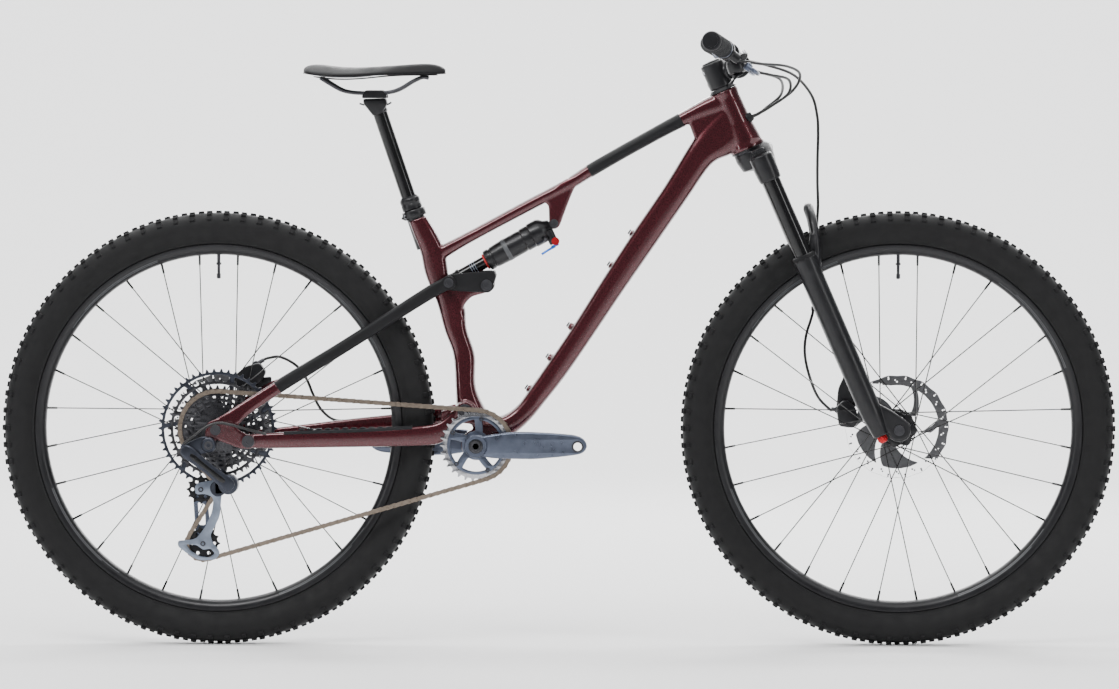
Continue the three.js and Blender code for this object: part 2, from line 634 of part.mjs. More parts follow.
// Tangent points of the belt line from circle a to circle b. `turn` is +1 where the chain goes
// round a wheel clockwise as seen from the drive side, and -1 where it goes the other way.
function tangent(a, b) {
  const dx = b.centre[0] - a.centre[0];
  const dz = b.centre[1] - a.centre[1];
  const distance = Math.hypot(dx, dz);
  const lean = Math.asin((b.turn * b.radius - a.turn * a.radius) / distance);
  const heading = Math.atan2(dz, dx) + lean;
  const normal = [-Math.sin(heading), Math.cos(heading)];
  const touch = (wheel) => [wheel.centre[0] + wheel.turn * wheel.radius * normal[0],
    wheel.centre[1] + wheel.turn * wheel.radius * normal[1]];
  return [touch(a), touch(b)];
}

function chainRoute() {
  const wheels = [
    { centre: REAR_AXLE, radius: teethRadius(CASSETTE_TEETH[ENGAGED_COG]), turn: 1, y: PULLEY_Y },
    { centre: CRANK_CENTRE, radius: teethRadius(CHAINRING_TEETH), turn: 1, y: CHAINLINE },
    { centre: TENSION_PULLEY, radius: teethRadius(TENSION_TEETH), turn: 1, y: PULLEY_Y },
    { centre: GUIDE_PULLEY, radius: teethRadius(GUIDE_TEETH), turn: -1, y: PULLEY_Y },
  ];
  const spans = wheels.map((wheel, i) => tangent(wheel, wheels[(i + 1) % wheels.length]));
  const points = [];
  wheels.forEach((wheel, i) => {
    const arrive = spans[(i + wheels.length - 1) % wheels.length][1];
    const leave = spans[i][0];
    const angleOf = ([x, z]) => Math.atan2(z - wheel.centre[1], x - wheel.centre[0]);
    const start = angleOf(arrive);
    let sweep = (angleOf(leave) - start) * -wheel.turn;
    while (sweep < 0) sweep += 2 * Math.PI;
    const count = Math.max(2, Math.ceil(sweep / 0.32));
    for (let step = 0; step <= count; step += 1) {
      const angle = start - (wheel.turn * sweep * step) / count;
      points.push({ centre: wheel.centre, y: wheel.y, angle, radius: wheel.radius, turn: wheel.turn });
    }
  });
  return points;
}

function chain() {
  const rings = chainRoute().map(({ centre, y, angle, radius, turn }) => {
    const spot = (r, dy) => new THREE.Vector3(centre[0] + r * Math.cos(angle), y + dy,
      centre[1] + r * Math.sin(angle));
    const outer = radius + turn * BAND;
    const inner = radius - turn * BAND;
    const half = BAND_WIDTH / 2;
    return [spot(outer, -half), spot(outer, half), spot(inner, half), spot(inner, -half)];
  });
  return closedLoft(rings);
}

// A closed skin over rings that come back to the first one.
function closedLoft(rings) {
  const count = rings[0].length;
  const index = [];
  for (let ring = 0; ring < rings.length; ring += 1) {
    const next = (ring + 1) % rings.length;
    for (let i = 0; i < count; i += 1) {
      const a = ring * count + i;
      const b = ring * count + ((i + 1) % count);
      const c = next * count + i;
      const d = next * count + ((i + 1) % count);
      index.push(a, b, c, b, d, c);
    }
  }
  const geometry = new THREE.BufferGeometry().setFromPoints(rings.flat());
  geometry.setIndex(index);
  return solid(geometry);
}

function disc(centre, radius, y0, y1, segments = 24) {
  return turned([[8, y0], [radius, y0], [radius, y1], [8, y1]], segments)
    .translate([centre[0], 0, centre[1]]);
}

function cutChain() {
  const cog = CASSETTE_TEETH[ENGAGED_COG];
  return cut(chain(),
    disc(CRANK_CENTRE, teethRadius(CHAINRING_TEETH) + TOOTH_HEIGHT + GAP, CHAINLINE - 1.5,
      CHAINLINE + 1.5, CHAINRING_TEETH),
    disc(REAR_AXLE, teethRadius(cog) + TOOTH_HEIGHT + GAP, PULLEY_Y - 1.1, PULLEY_Y + 10,
      CASSETTE_SEGMENTS),
    disc(GUIDE_PULLEY, teethRadius(GUIDE_TEETH) + 1.3, PULLEY_Y - 1.5, PULLEY_Y + 1.5),
    disc(TENSION_PULLEY, teethRadius(TENSION_TEETH) + 1.3, PULLEY_Y - 1.5, PULLEY_Y + 1.5));
}

// ---------------------------------------------------------------- derailleur
const B_KNUCKLE = [-597, 350];
const LINK_TOP = new THREE.Vector3(-633, -93, 338);
const LINK_BOTTOM = new THREE.Vector3(-564, -95, 283);

function bKnuckle() {
  const round = cross(B_KNUCKLE, -103, -83.4, 13);
  const arm = hull(new THREE.Vector3(-600, -93.5, 360), new THREE.Vector3(-600, -85, 360),
    new THREE.Vector3(-640, -93.5, 345), new THREE.Vector3(-640, -85, 345),
    new THREE.Vector3(-628, -93.5, 333), new THREE.Vector3(-628, -85, 333),
    new THREE.Vector3(-598, -93.5, 338), new THREE.Vector3(-598, -85, 338));
  return round.add(arm);
}

function link(offset, thickness, start, end, height) {
  const step = LINK_BOTTOM.clone().sub(LINK_TOP).normalize();
  const out = new THREE.Vector3(0, -1, 0);
  const across = new THREE.Vector3().crossVectors(step, out).normalize();
  const corners = [];
  for (const distance of [start, end]) {
    for (const side of [-1, 1]) {
      for (const depth of [offset, offset + thickness]) {
        corners.push(LINK_TOP.clone().addScaledVector(step, distance)
          .addScaledVector(across, (side * height) / 2).addScaledVector(out, depth));
      }
    }
  }
  return hull(...corners);
}

function pKnuckle() {
  return join(cross([-565, 281], -84, -52, 17), cross(CAGE_PIVOT, -62, -46.4, 14),
    hull(new THREE.Vector3(-584, -62, 262), new THREE.Vector3(-584, -50, 262),
      new THREE.Vector3(-584, -62, 288), new THREE.Vector3(-584, -50, 288),
      new THREE.Vector3(-563, -62, 266), new THREE.Vector3(-563, -50, 266),
      new THREE.Vector3(-563, -62, 296), new THREE.Vector3(-563, -50, 296)));
}

function cage() {
  const outline = [[-622, 284], [-602, 290], [-584, 287], [-572, 272], [-580, 258], [-600, 240],
    [-594, 196], [-592, 170], [-606, 152], [-630, 160], [-628, 190], [-632, 255]];
  const outer = plate(outline, PULLEY_Y - 7.4, PULLEY_Y - 4.6);
  const innerOutline = [[-624, 277], [-606, 279], [-600, 268], [-604, 240], [-600, 196],
    [-598, 170], [-608, 160], [-624, 166], [-624, 190], [-628, 256]];
  const inner = plate(innerOutline, PULLEY_Y + 4.6, PULLEY_Y + 6.8);
  const pins = [GUIDE_PULLEY, TENSION_PULLEY].map((centre) => cross(centre, PULLEY_Y - 7,
    PULLEY_Y + 6.6, 3.5, 3.5, 10));
  return join(outer, inner, ...pins);
}

function pulley(centre, teeth) {
  const tip = teethRadius(teeth) + 1;
  return turned([[3.8, PULLEY_Y - 3.8], [9, PULLEY_Y - 3.8], [9, PULLEY_Y - 1.1],
    [tip, PULLEY_Y - 1.1], [tip, PULLEY_Y + 1.1], [9, PULLEY_Y + 1.1], [9, PULLEY_Y + 3.8],
    [3.8, PULLEY_Y + 3.8]], teeth).translate([centre[0], 0, centre[1]]);
}

// ---------------------------------------------------------------- fork
const STANCHION_TOP = [351, 838];
const STANCHION_LENGTH = 340;
const ARCH_RADIUS = 10;

function forkPoint(y, distance, forward = 0) {
  return at(STANCHION_TOP, y).addScaledVector(HEAD_DOWN, distance)
    .addScaledVector(HEAD_FORWARD, forward);
}

function forkUpper() {
  const race = at(HEAD_BOTTOM).addScaledVector(HEAD_DOWN, GAP);
  const waist = at(HEAD_TOP).addScaledVector(HEAD_DOWN, 20);
  const steerer = join(bar(at(HEAD_TOP).addScaledVector(HEAD_DOWN, -46), waist, 14.2, 14.2, 16),
    bar(waist, race, 14.2, 19.6, 16));
  const crownBase = bar(race, at(HEAD_BOTTOM).addScaledVector(HEAD_DOWN, 20), 28, 27, 16);
  const legs = [LEG_Y, -LEG_Y].map((y) => join(
    bar(forkPoint(y, 0), forkPoint(y, STANCHION_LENGTH), STANCHION_RADIUS),
    bar(forkPoint(y, -10), forkPoint(y, 42), 20, 19),
    hull(...[0, 22].flatMap((down) => [-18, 15].flatMap((forward) => [
      forkPoint(y, down, forward), forkPoint(y * 0.2, down - 25, forward * 1.3)])))));
  return join(steerer, crownBase, ...legs);
}

function compressionKnob() {
  return bar(forkPoint(-LEG_Y, -10 - GAP), forkPoint(-LEG_Y, -21), 13, 11, 12);
}

// Cast lowers: two legs, the arch over the tyre, the dropouts and the brake mount.
function forkLowers() {
  const top = 178;
  const legs = [LEG_Y, -LEG_Y].map((y) => {
    const side = Math.sign(y);
    const tube = pipe([top, 450, 515].map((down) => forkPoint(y, down)),
      [LEG_RADIUS + 0.5, LEG_RADIUS, 13], HEAD_FORWARD, 10);
    const dropout = plate([[540, 425], [575, 405], [604, 386], [606, 366], [592, 355], [575, 358],
      [566, 377], [530, 400]], side > 0 ? 55.5 : -72, side > 0 ? 72 : -55.5);
    return join(tube, dropout);
  });
  const archPoints = [[LEG_Y, 215, 8], [LEG_Y - 4, 190, 20], [LEG_Y - 12, 160, 30], [38, 128, 38],
    [0, 112, 40]];
  const left = archPoints.map(([y, down, forward]) => forkPoint(y, down, forward));
  const right = left.slice(0, -1).map((point) => point.clone().setY(-point.y));
  const route = [...left, ...right.reverse()];
  const arch = pipe(route, route.map(() => ARCH_RADIUS), HEAD_FORWARD);
  const brakeMount = plate([[500, 470], [522, 452], [512, 400], [480, 395], [484, 440]], 56, 68);
  const bores = [LEG_Y, -LEG_Y].map((y) => bar(forkPoint(y, top - 5), forkPoint(y, 485),
    STANCHION_RADIUS + GAP));
  return cut(join(...legs, arch, brakeMount), ...bores,
    cross(FRONT_AXLE, -90, 90, 6.4));
}

function frontAxle() {
  return join(cross(FRONT_AXLE, -76, 76, 6), cross(FRONT_AXLE, -76, -72.4, 9.5),
    cross(FRONT_AXLE, 72.4, 80, 10));
}

function reboundKnob() {
  return bar(forkPoint(-LEG_Y, 515 + GAP), forkPoint(-LEG_Y, 527), 9, 8, 12);
}

function frontCaliper() {
  const body = plate([[485, 376], [513, 372], [522, 386], [514, 412], [496, 424], [480, 410]],
    30, 54);
  const foot = plate([[492, 385], [512, 380], [508, 398], [492, 399]], 46, 55.6);
  const slot = disc(FRONT_AXLE, ROTOR_RADIUS + 3, FRONT_ROTOR_Y - 2.5, FRONT_ROTOR_Y + 2.5);
  const banjo = bar(new THREE.Vector3(484, 50, 404), new THREE.Vector3(474, 50, 404), 5);
  return cut(join(body, foot, banjo), slot);
}

// ---------------------------------------------------------------- cockpit
const GRIP_LENGTH = 135;
const BAR_POINTS = [[310, 0, 1000], [310, 30, 1000], [304, 105, 1016], [262, BAR_WIDTH / 2, 1040.6]]
  .map((point) => new THREE.Vector3(...point));

// A point on the bar at the given distance from the middle, on the left where side is 1.
function barPoint(y, side) {
  const i = Math.abs(y) < 105 ? 1 : 2;
  const [a, b] = [BAR_POINTS[i], BAR_POINTS[i + 1]];
  const point = a.clone().lerp(b, (y - a.y) / (b.y - a.y));
  point.y *= side;
  return point;
}

function handlebar() {
  const radii = [15.9, 12.5, 11.1];
  const left = BAR_POINTS.slice(1);
  const right = left.map((point) => point.clone().setY(-point.y));
  return pipe([...right.reverse(), ...left], [...radii.slice().reverse(), ...radii],
    new THREE.Vector3(0, 0, 1), 12);
}

function stem() {
  const clampLow = at(HEAD_TOP).addScaledVector(HEAD_DOWN, -6);
  const clampTop = at(HEAD_TOP).addScaledVector(HEAD_DOWN, -52);
  const cover = bar(at(HEAD_TOP).addScaledVector(HEAD_DOWN, -GAP),
    at(HEAD_TOP).addScaledVector(HEAD_DOWN, -8), 25, 21, 16);
  const clamp = bar(clampLow, clampTop, 20, 20, 16);
  const barClamp = cross(BAR_CENTRE, -25, 25, 22);
  const neck = hull(...[-20, -42].flatMap((up) => [-17, 17].map((y) => at(HEAD_TOP)
    .addScaledVector(HEAD_DOWN, up).add(new THREE.Vector3(12, y, 4)))),
  ...[-12, 12].flatMap((rise) => [-18, 18].map((y) => at(BAR_CENTRE, y)
    .addScaledVector(HEAD_DOWN, rise))));
  const steererBore = bar(at(HEAD_TOP).addScaledVector(HEAD_DOWN, 5),
    at(HEAD_TOP).addScaledVector(HEAD_DOWN, -46.5), 15.2, 14.6, 16);
  const lock = at(BAR_CENTRE);
  return cut(join(cover, clamp, barClamp, neck), steererBore,
    bar(lock.clone().setY(-60), lock.clone().setY(60), 16.8, 16.8, 16));
}

function grip() {
  const from = barPoint(BAR_WIDTH / 2 - GRIP_LENGTH, 1);
  const to = barPoint(BAR_WIDTH / 2 + 4, 1);
  const bore = [barPoint(BAR_WIDTH / 2 - GRIP_LENGTH - 8, 1), barPoint(BAR_WIDTH / 2 + 0.4, 1)];
  return cut(bar(from, to, 16.5), bar(...bore, 12.8, 12.3));
}

// The brake's master cylinder and clamp. It reaches forward and down from the bar.
const REACH = new THREE.Vector3(0.8, 0, -0.6);
const CYLINDER_REACH = 32;
const BRAKE_Y = 225;

function brakeBody(side) {
  const centre = barPoint(BRAKE_Y, side);
  const inner = barPoint(BRAKE_Y - 8, side);
  const outer = barPoint(BRAKE_Y + 8, side);
  const clamp = bar(inner, outer, 17, 17);
  const front = centre.clone().addScaledVector(REACH, CYLINDER_REACH);
  const cylinder = bar(front.clone().setY(side * (BRAKE_Y - 36)),
    front.clone().setY(side * (BRAKE_Y + 12)), 9, 10, 10);
  const neck = bar(centre.clone().addScaledVector(REACH, 12), front, 8, 8, 8);
  const bore = bar(barPoint(BRAKE_Y - 20, side), barPoint(BRAKE_Y + 20, side), 12.7, 12.7);
  return cut(join(clamp, neck, cylinder), bore);
}

function brakeLever(side) {
  const front = barPoint(BRAKE_Y, side).addScaledVector(REACH, CYLINDER_REACH);
  const place = (y, reach, rise = 0) => front.clone().setY(side * y).addScaledVector(REACH, reach)
    .add(new THREE.Vector3(0.6 * rise, 0, 0.8 * rise));
  const points = [place(BRAKE_Y + 2, 17), place(BRAKE_Y + 16, 30), place(BRAKE_Y + 55, 36),
    place(BRAKE_Y + 112, 28)];
  const blade = pipe(points, [5.5, 5.5, 5, 5], new THREE.Vector3(0.6, 0, 0.8));
  const pivot = bar(place(BRAKE_Y + 2, 17, -7), place(BRAKE_Y + 2, 17, 7), 6.5, 6.5, 10);
  return join(blade, pivot);
}

const PADDLE_Y = 168;

function shifterPod() {
  const centre = barPoint(PADDLE_Y, -1);
  const clamp = bar(barPoint(PADDLE_Y - 6, -1), barPoint(PADDLE_Y + 6, -1), 16.5, 16.5);
  const pod = bar(centre.clone().add(new THREE.Vector3(8, 0, -15)),
    centre.clone().add(new THREE.Vector3(14, 4, -34)), 16, 15, 12);
  const bore = bar(barPoint(PADDLE_Y - 20, -1), barPoint(PADDLE_Y + 20, -1), 13, 13);
  return cut(clamp.add(pod), bore);
}

function shifterPaddle() {
  const hub = barPoint(PADDLE_Y, -1).add(new THREE.Vector3(14.2, 4, -34.6));
  const down = new THREE.Vector3(0.3, 0.2, -0.93).normalize();
  const disc0 = bar(hub, hub.clone().addScaledVector(down, 4), 9, 9, 10);
  const blade = bar(hub.clone().addScaledVector(down, 2.2),
    hub.clone().addScaledVector(down, 2.2).add(new THREE.Vector3(-14, -26, -18)), 2.2, 4, 8);
  return disc0.add(blade);
}

function dropperRemote() {
  const centre = barPoint(PADDLE_Y, 1);
  const clamp = bar(barPoint(PADDLE_Y - 5, 1), barPoint(PADDLE_Y + 5, 1), 16.5, 16.5);
  const arm = bar(centre.clone().add(new THREE.Vector3(4, 0, -14)),
    centre.clone().add(new THREE.Vector3(8, 0, -26)), 6, 6, 8);
  const bore = bar(barPoint(PADDLE_Y - 20, 1), barPoint(PADDLE_Y + 20, 1), 13, 13);
  const strut = bar(centre.clone().addScaledVector(REACH, 12), centre.clone()
    .addScaledVector(REACH, 27).add(new THREE.Vector3(0, 27, 0)), 5, 5, 8);
  return cut(join(clamp, arm, strut), bore);
}

function dropperLever() {
  const hub = barPoint(PADDLE_Y, 1).add(new THREE.Vector3(8.5, 0, -27.2));
  const down = new THREE.Vector3(0.3, 0, -0.95).normalize();
  const disc0 = bar(hub, hub.clone().addScaledVector(down, 5), 7, 7, 10);
  const blade = bar(hub.clone().addScaledVector(down, 2.6),
    hub.clone().addScaledVector(down, 2.6).add(new THREE.Vector3(-16, 26, -2)), 2.4, 6, 8);
  return disc0.add(blade);
}

// ---------------------------------------------------------------- saddle
const RAIL_Y = 22;
const RAIL_RADIUS = 3.5;

function postInner() {
  const foot = at(POST_SEAL).addScaledVector(POST_DOWN, 45);
  const tube = bar(foot, at(POST_TOP), POST_RADIUS, POST_RADIUS, 16);
  const head = hull(...[-14, 14].flatMap((y) => [[-335, 934], [-335, 942], [-296, 942],
    [-296, 934], [-305, 920], [-318, 915]].map((point) => at(point, y))));
  const cradle = bar(at([-335, 943], 0).setY(-RAIL_Y - 6), at([-335, 943], 0).setY(RAIL_Y + 6), 4, 4, 8);
  return join(tube, head, cut(cradle, bar(at([-400, 948], RAIL_Y), at([-250, 948], RAIL_Y), 6, 6, 8),
    bar(at([-400, 948], -RAIL_Y), at([-250, 948], -RAIL_Y), 6, 6, 8)));
}

function saddleRails() {
  const rail = (side) => cord([[-222, 978, 8], [-246, 974, 14], [-272, 960, RAIL_Y],
    [-300, 953.5, RAIL_Y], [-350, 953.5, RAIL_Y], [-385, 962, 28], [-408, 978, 34]]
    .map(([x, z, y]) => at([x, z], side * y)), RAIL_RADIUS, 12, 6);
  const nose = bar(at([-221, 978], -10), at([-221, 978], 10), RAIL_RADIUS + 0.3, RAIL_RADIUS + 0.3, 8);
  return join(rail(1), rail(-1), nose);
}

function saddle() {
  const section = (x, top, bottom, half, drop) => [at([x, top], -half * 0.45),
    at([x, top], half * 0.45), at([x, top - drop * 0.5], half), at([x, bottom], half * 0.9),
    at([x, bottom + 4], 0), at([x, bottom], -half * 0.9), at([x, top - drop * 0.5], -half)];
  return loft([section(-438, 999, 985, 40, 6), section(-415, 1003, 983.5, 66, 16),
    section(-380, 999, 984, 69, 16), section(-340, 998, 985, 55, 12), section(-300, 1000, 986, 34, 10),
    section(-250, 1003, 986, 22, 8), section(-205, 1001, 986, 17, 8), section(-194, 994, 987, 9, 4)]);
}

// ---------------------------------------------------------------- hoses and cables
const HOSE_RADIUS = 2.5;

function controlLines() {
  const brake = [[312, -185, 1008], [345, -150, 1003], [392, -80, 999], [416, -30, 985],
    [404, -5, 957], [362, -8, 927], [347, -9, 919]];
  const shift = [[325, -150, 992], [365, -110, 984], [396, -62, 976], [396, -30, 952],
    [364, -16, 929], [347, -13, 919]];
  const dropper = [[316, 162, 998], [352, 116, 988], [384, 60, 976], [384, 12, 950],
    [358, -3, 927], [347, -6, 918]];
  const lines = [brake, shift, dropper].map((points) => cord(points
    .map(([x, y, z]) => new THREE.Vector3(x, y, z)), HOSE_RADIUS, 13, 8));
  const grommet = bar(new THREE.Vector3(337.5, -9.5, 914.5), new THREE.Vector3(346, -9.5, 918.5), 8, 7, 10);
  return join(grommet, ...lines);
}

function frontHose() {
  const points = [[322, 184, 1010], [362, 140, 1001], [408, 105, 984], [438, 85, 950],
    [448, 79, 915], [450, 78, 882], [449, 78, 838], [449, 80, 797], [450, 84, 752], [446, 90, 690], [444, 90, 630], [443, 90, 578],
    [430, 88, 531], [428, 84, 497], [436, 74, 460], [450, 60, 426], [470, 51, 405]];
  return cord(points.map(([x, y, z]) => new THREE.Vector3(x, y, z)), HOSE_RADIUS, 36, 8);
}

function rearHose() {
  const points = [[-300, 62, 385], [-360, 70, 383], [-392, 76, 384], [-415, 80, 402],
    [-429, 82, 428], [-440, 82, 454], [-458, 82, 478], [-485, 78, 493], [-504, 73, 492],
    [-514, 70, 489]];
  return cord(points.map(([x, y, z]) => new THREE.Vector3(x, y, z)), HOSE_RADIUS, 22, 8);
}

function shiftCable() {
  const points = [[-500, -79, 368], [-521, -88, 374], [-542, -91, 380], [-560, -92, 385],
    [-580, -93, 388], [-600, -96, 382], [-622, -99, 366], [-640, -97, 352]];
  return cord(points.map(([x, y, z]) => new THREE.Vector3(x, y, z)), HOSE_RADIUS, 18, 8);
}

// ---------------------------------------------------------------- assembly
const bike = new THREE.Group();
bike.name = 'mountain_bike';
bike.add(
  part('main_frame', mainFrame(), PAINT),
  part('bottom_bracket', bottomBracket(), DARK_METAL),
  part('seat_clamp', seatClamp(), MATTE_BLACK),
  part('dropper_post_outer', postSleeve(), MATTE_BLACK),
  part('main_pivot_axle', pivotAxle(MAIN_PIVOT, 48.3, 8, 12, 46.4), DARK_METAL),
  part('rocker_pivot_axle', pivotAxle(ROCKER_PIVOT, 34, 6, 10, 30.4), DARK_METAL),
  part('chain', cutChain(), CHAIN_METAL),
  part('bar_control_lines', controlLines(), HOSE),
  part('chainstay', chainstay(), PAINT),
  part('seatstay', seatstay(), PAINT),
  part('rear_axle', rearAxle(), DARK_METAL),
  part('rear_brake_caliper', rearCaliper(), MATTE_BLACK),
  part('rear_brake_hose', rearHose(), HOSE),
  part('shift_cable', shiftCable(), HOSE),
  part('derailleur_b_knuckle', bKnuckle(), ANODISED),
  part('derailleur_outer_link', link(3, 5, -6, 96, 22), ANODISED),
  part('derailleur_inner_link', link(-8, 4, 22, 58, 12), DARK_METAL),
  part('derailleur_p_knuckle', pKnuckle(), ANODISED),
  part('derailleur_cage', cage(), PLATE_GREY),
  part('guide_pulley', pulley(GUIDE_PULLEY, GUIDE_TEETH), DARK_METAL),
  part('tension_pulley', pulley(TENSION_PULLEY, TENSION_TEETH), DARK_METAL),
  part('rocker_link', rocker(), MATTE_BLACK),
  part('shock_body', shockBody(), MATTE_BLACK),
  part('shock_shaft', shockShaft(), SILVER),
  part('shock_lever', shockLever(), BLUE),
  group(...CRANK_CENTRE, driveArm(), plainArm(), chainring()),
  group(...REAR_AXLE, cassette()),
  wheel('rear', REAR_AXLE, REAR_HUB_WIDTH / 2, REAR_FLANGES, REAR_ROTOR_Y, -70),
  wheel('front', FRONT_AXLE, FRONT_HUB_WIDTH / 2, FRONT_FLANGES, FRONT_ROTOR_Y, null),
  part('fork_upper', forkUpper(), MATTE_BLACK),
  part('compression_knob', compressionKnob(), BLUE),
  part('fork_lowers', forkLowers(), MATTE_BLACK),
  part('front_axle', frontAxle(), DARK_METAL),
  part('rebound_knob', reboundKnob(), RED),
  part('front_brake_caliper', frontCaliper(), MATTE_BLACK),
  part('front_brake_hose', frontHose(), HOSE),
  part('stem', stem(), MATTE_BLACK),
  part('handlebar', handlebar(), MATTE_BLACK),
  part('grip_right', mirrored(grip()), GRIP_RUBBER),
  part('grip_left', grip(), GRIP_RUBBER),
  part('brake_body_right', brakeBody(-1), MATTE_BLACK),
  part('brake_body_left', brakeBody(1).add(dropperRemote()), MATTE_BLACK),
  part('brake_lever_right', brakeLever(-1), MATTE_BLACK),
  part('brake_lever_left', brakeLever(1), MATTE_BLACK),
  part('shifter_pod', shifterPod(), MATTE_BLACK),
  part('shifter_paddle', shifterPaddle(), DARK_METAL),
  part('dropper_lever', dropperLever(), DARK_METAL),
  part('dropper_post_inner', postInner(), DARK_METAL),
  part('saddle_rails', saddleRails(), SILVER),
  part('saddle', saddle(), SADDLE_COVER),
);

export default bike;
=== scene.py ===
import math

import bmesh
import bpy
from mathutils import Matrix, Vector


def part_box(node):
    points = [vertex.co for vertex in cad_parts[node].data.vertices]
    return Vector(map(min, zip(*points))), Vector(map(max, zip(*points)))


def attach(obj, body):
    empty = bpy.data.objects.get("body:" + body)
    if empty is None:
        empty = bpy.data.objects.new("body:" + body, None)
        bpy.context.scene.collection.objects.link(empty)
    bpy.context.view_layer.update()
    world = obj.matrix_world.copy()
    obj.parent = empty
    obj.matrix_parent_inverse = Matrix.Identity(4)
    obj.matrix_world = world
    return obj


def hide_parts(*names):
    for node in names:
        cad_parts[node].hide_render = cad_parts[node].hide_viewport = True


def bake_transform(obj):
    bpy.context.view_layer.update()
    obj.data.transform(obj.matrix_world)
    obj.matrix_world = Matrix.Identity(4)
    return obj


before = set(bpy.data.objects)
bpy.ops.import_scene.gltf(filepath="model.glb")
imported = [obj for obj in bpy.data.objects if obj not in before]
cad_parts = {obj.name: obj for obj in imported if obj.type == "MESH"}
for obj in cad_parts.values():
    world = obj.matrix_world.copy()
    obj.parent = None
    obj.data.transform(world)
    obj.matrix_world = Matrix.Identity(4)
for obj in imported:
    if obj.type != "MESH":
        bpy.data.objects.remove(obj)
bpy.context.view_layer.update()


def vec(x, y, z):
    return Vector((x, y, z))


# A full-suspension mountain bike. Lengths in this file are millimetres, and `make` turns them into
# metres. +X points forward, +Y to the rider's left (the drive side is -Y) and +Z up.
MM = 0.001
TURN = 2 * math.pi
ACROSS = vec(0, 1, 0)
UP = vec(0, 0, 1)


# ---------------------------------------------------------------- driving dimensions
def body_centre(node):
    low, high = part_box(node)
    middle = (low + high) / 2 / MM
    return vec(middle.x, 0, middle.z)


def at(place, y=0.0):
    return vec(place[0], y, place[1])


REAR = body_centre("rear_rim")
FRONT = body_centre("front_rim")
CRANK = body_centre("bottom_bracket")
MAIN_PIVOT = body_centre("main_pivot_axle")
ROCKER_PIVOT = body_centre("rocker_pivot_axle")
HORST_PIVOT = at((-530.5, 355.4))
SEATSTAY_PIVOT = at((-187.6, 626.6))
SHOCK_LOWER = at((-175.3, 633.8))
SHOCK_UPPER = at((-6.5, 728.4))
HEAD_TOP = at((284.6, 956.7))
HEAD_BOTTOM = at((328, 856.7))
HEAD_DOWN = (HEAD_BOTTOM - HEAD_TOP).normalized()
HEAD_FORWARD = vec(-HEAD_DOWN.z, 0, HEAD_DOWN.x)
POST_TOP = at((-311, 930))
POST_SEAL = at((-257.5, 772))
POST_DOWN = (POST_SEAL - POST_TOP).normalized()
STANCHION_TOP = at((351, 838))
LEG_Y = 65
CAGE_PIVOT = at((-583.8, 273.3))
GUIDE_PULLEY = at((-614.9, 270.2))
TENSION_PULLEY = at((-611.5, 176.7))
SPOKES = 28
CHAIN_PITCH = 12.7
CHAINRING_TEETH = 30
GUIDE_TEETH = 12
TENSION_TEETH = 14
CASSETTE_TEETH = [10, 12, 14, 16, 18, 21, 24, 28, 32, 36, 42, 50]
ENGAGED_COG = 8
CHAINLINE = -52
FIRST_COG_Y = -67
COG_PITCH = 3.55
PULLEY_Y = FIRST_COG_Y + ENGAGED_COG * COG_PITCH


# ---------------------------------------------------------------- camera and light
def camera():
    """Stands 10 m off on the drive side, level with the bars, and looks at the middle of the bike."""
    data = bpy.data.cameras.new("camera")
    data.sensor_width = 36
    data.lens = 186.5
    data.clip_end = 100
    holder = bpy.data.objects.new("camera", data)
    bpy.context.scene.collection.objects.link(holder)
    holder.location = (0.212, -10.0, 0.978)
    target = vec(0.0025, 0, 0.519)
    holder.rotation_mode = "QUATERNION"
    holder.rotation_quaternion = (target - holder.location).to_track_quat("-Z", "Y")
    bpy.context.scene.camera = holder


def softbox(name, place, target, size, power):
    data = bpy.data.lights.new(name, "AREA")
    data.shape = "RECTANGLE"
    data.size, data.size_y = size
    data.energy = power
    lamp = bpy.data.objects.new(name, data)
    bpy.context.scene.collection.objects.link(lamp)
    lamp.location = place
    lamp.rotation_mode = "QUATERNION"
    lamp.rotation_quaternion = (Vector(target) - Vector(place)).to_track_quat("-Z", "Y")


def studio():
    world = bpy.data.worlds.new("studio")
    world.use_nodes = True
    background = world.node_tree.nodes["Background"]
    background.inputs["Color"].default_value = (0.93, 0.95, 1.0, 1)
    background.inputs["Strength"].default_value = 0.22
    bpy.context.scene.world = world
    softbox("key", (-1.4, -2.6, 3.6), (0, 0, 0.5), (2.8, 0.8), 110)
    softbox("fill", (3.4, -2.4, 1.7), (0, 0, 0.5), (0.5, 2.4), 32)
    softbox("side", (-3.6, -2.0, 1.5), (0, 0, 0.5), (0.5, 2.2), 26)
    softbox("back", (0.6, 3.4, 2.0), (0, 0, 0.6), (2.6, 0.6), 60)
    softbox("ceiling", (0, -1, 7.5), (0, -1, 0), (18, 16), 1500)
    softbox("wall_wash", (0, 2.6, 6.4), (0, 7, 1.6), (12.0, 1.6), 900)


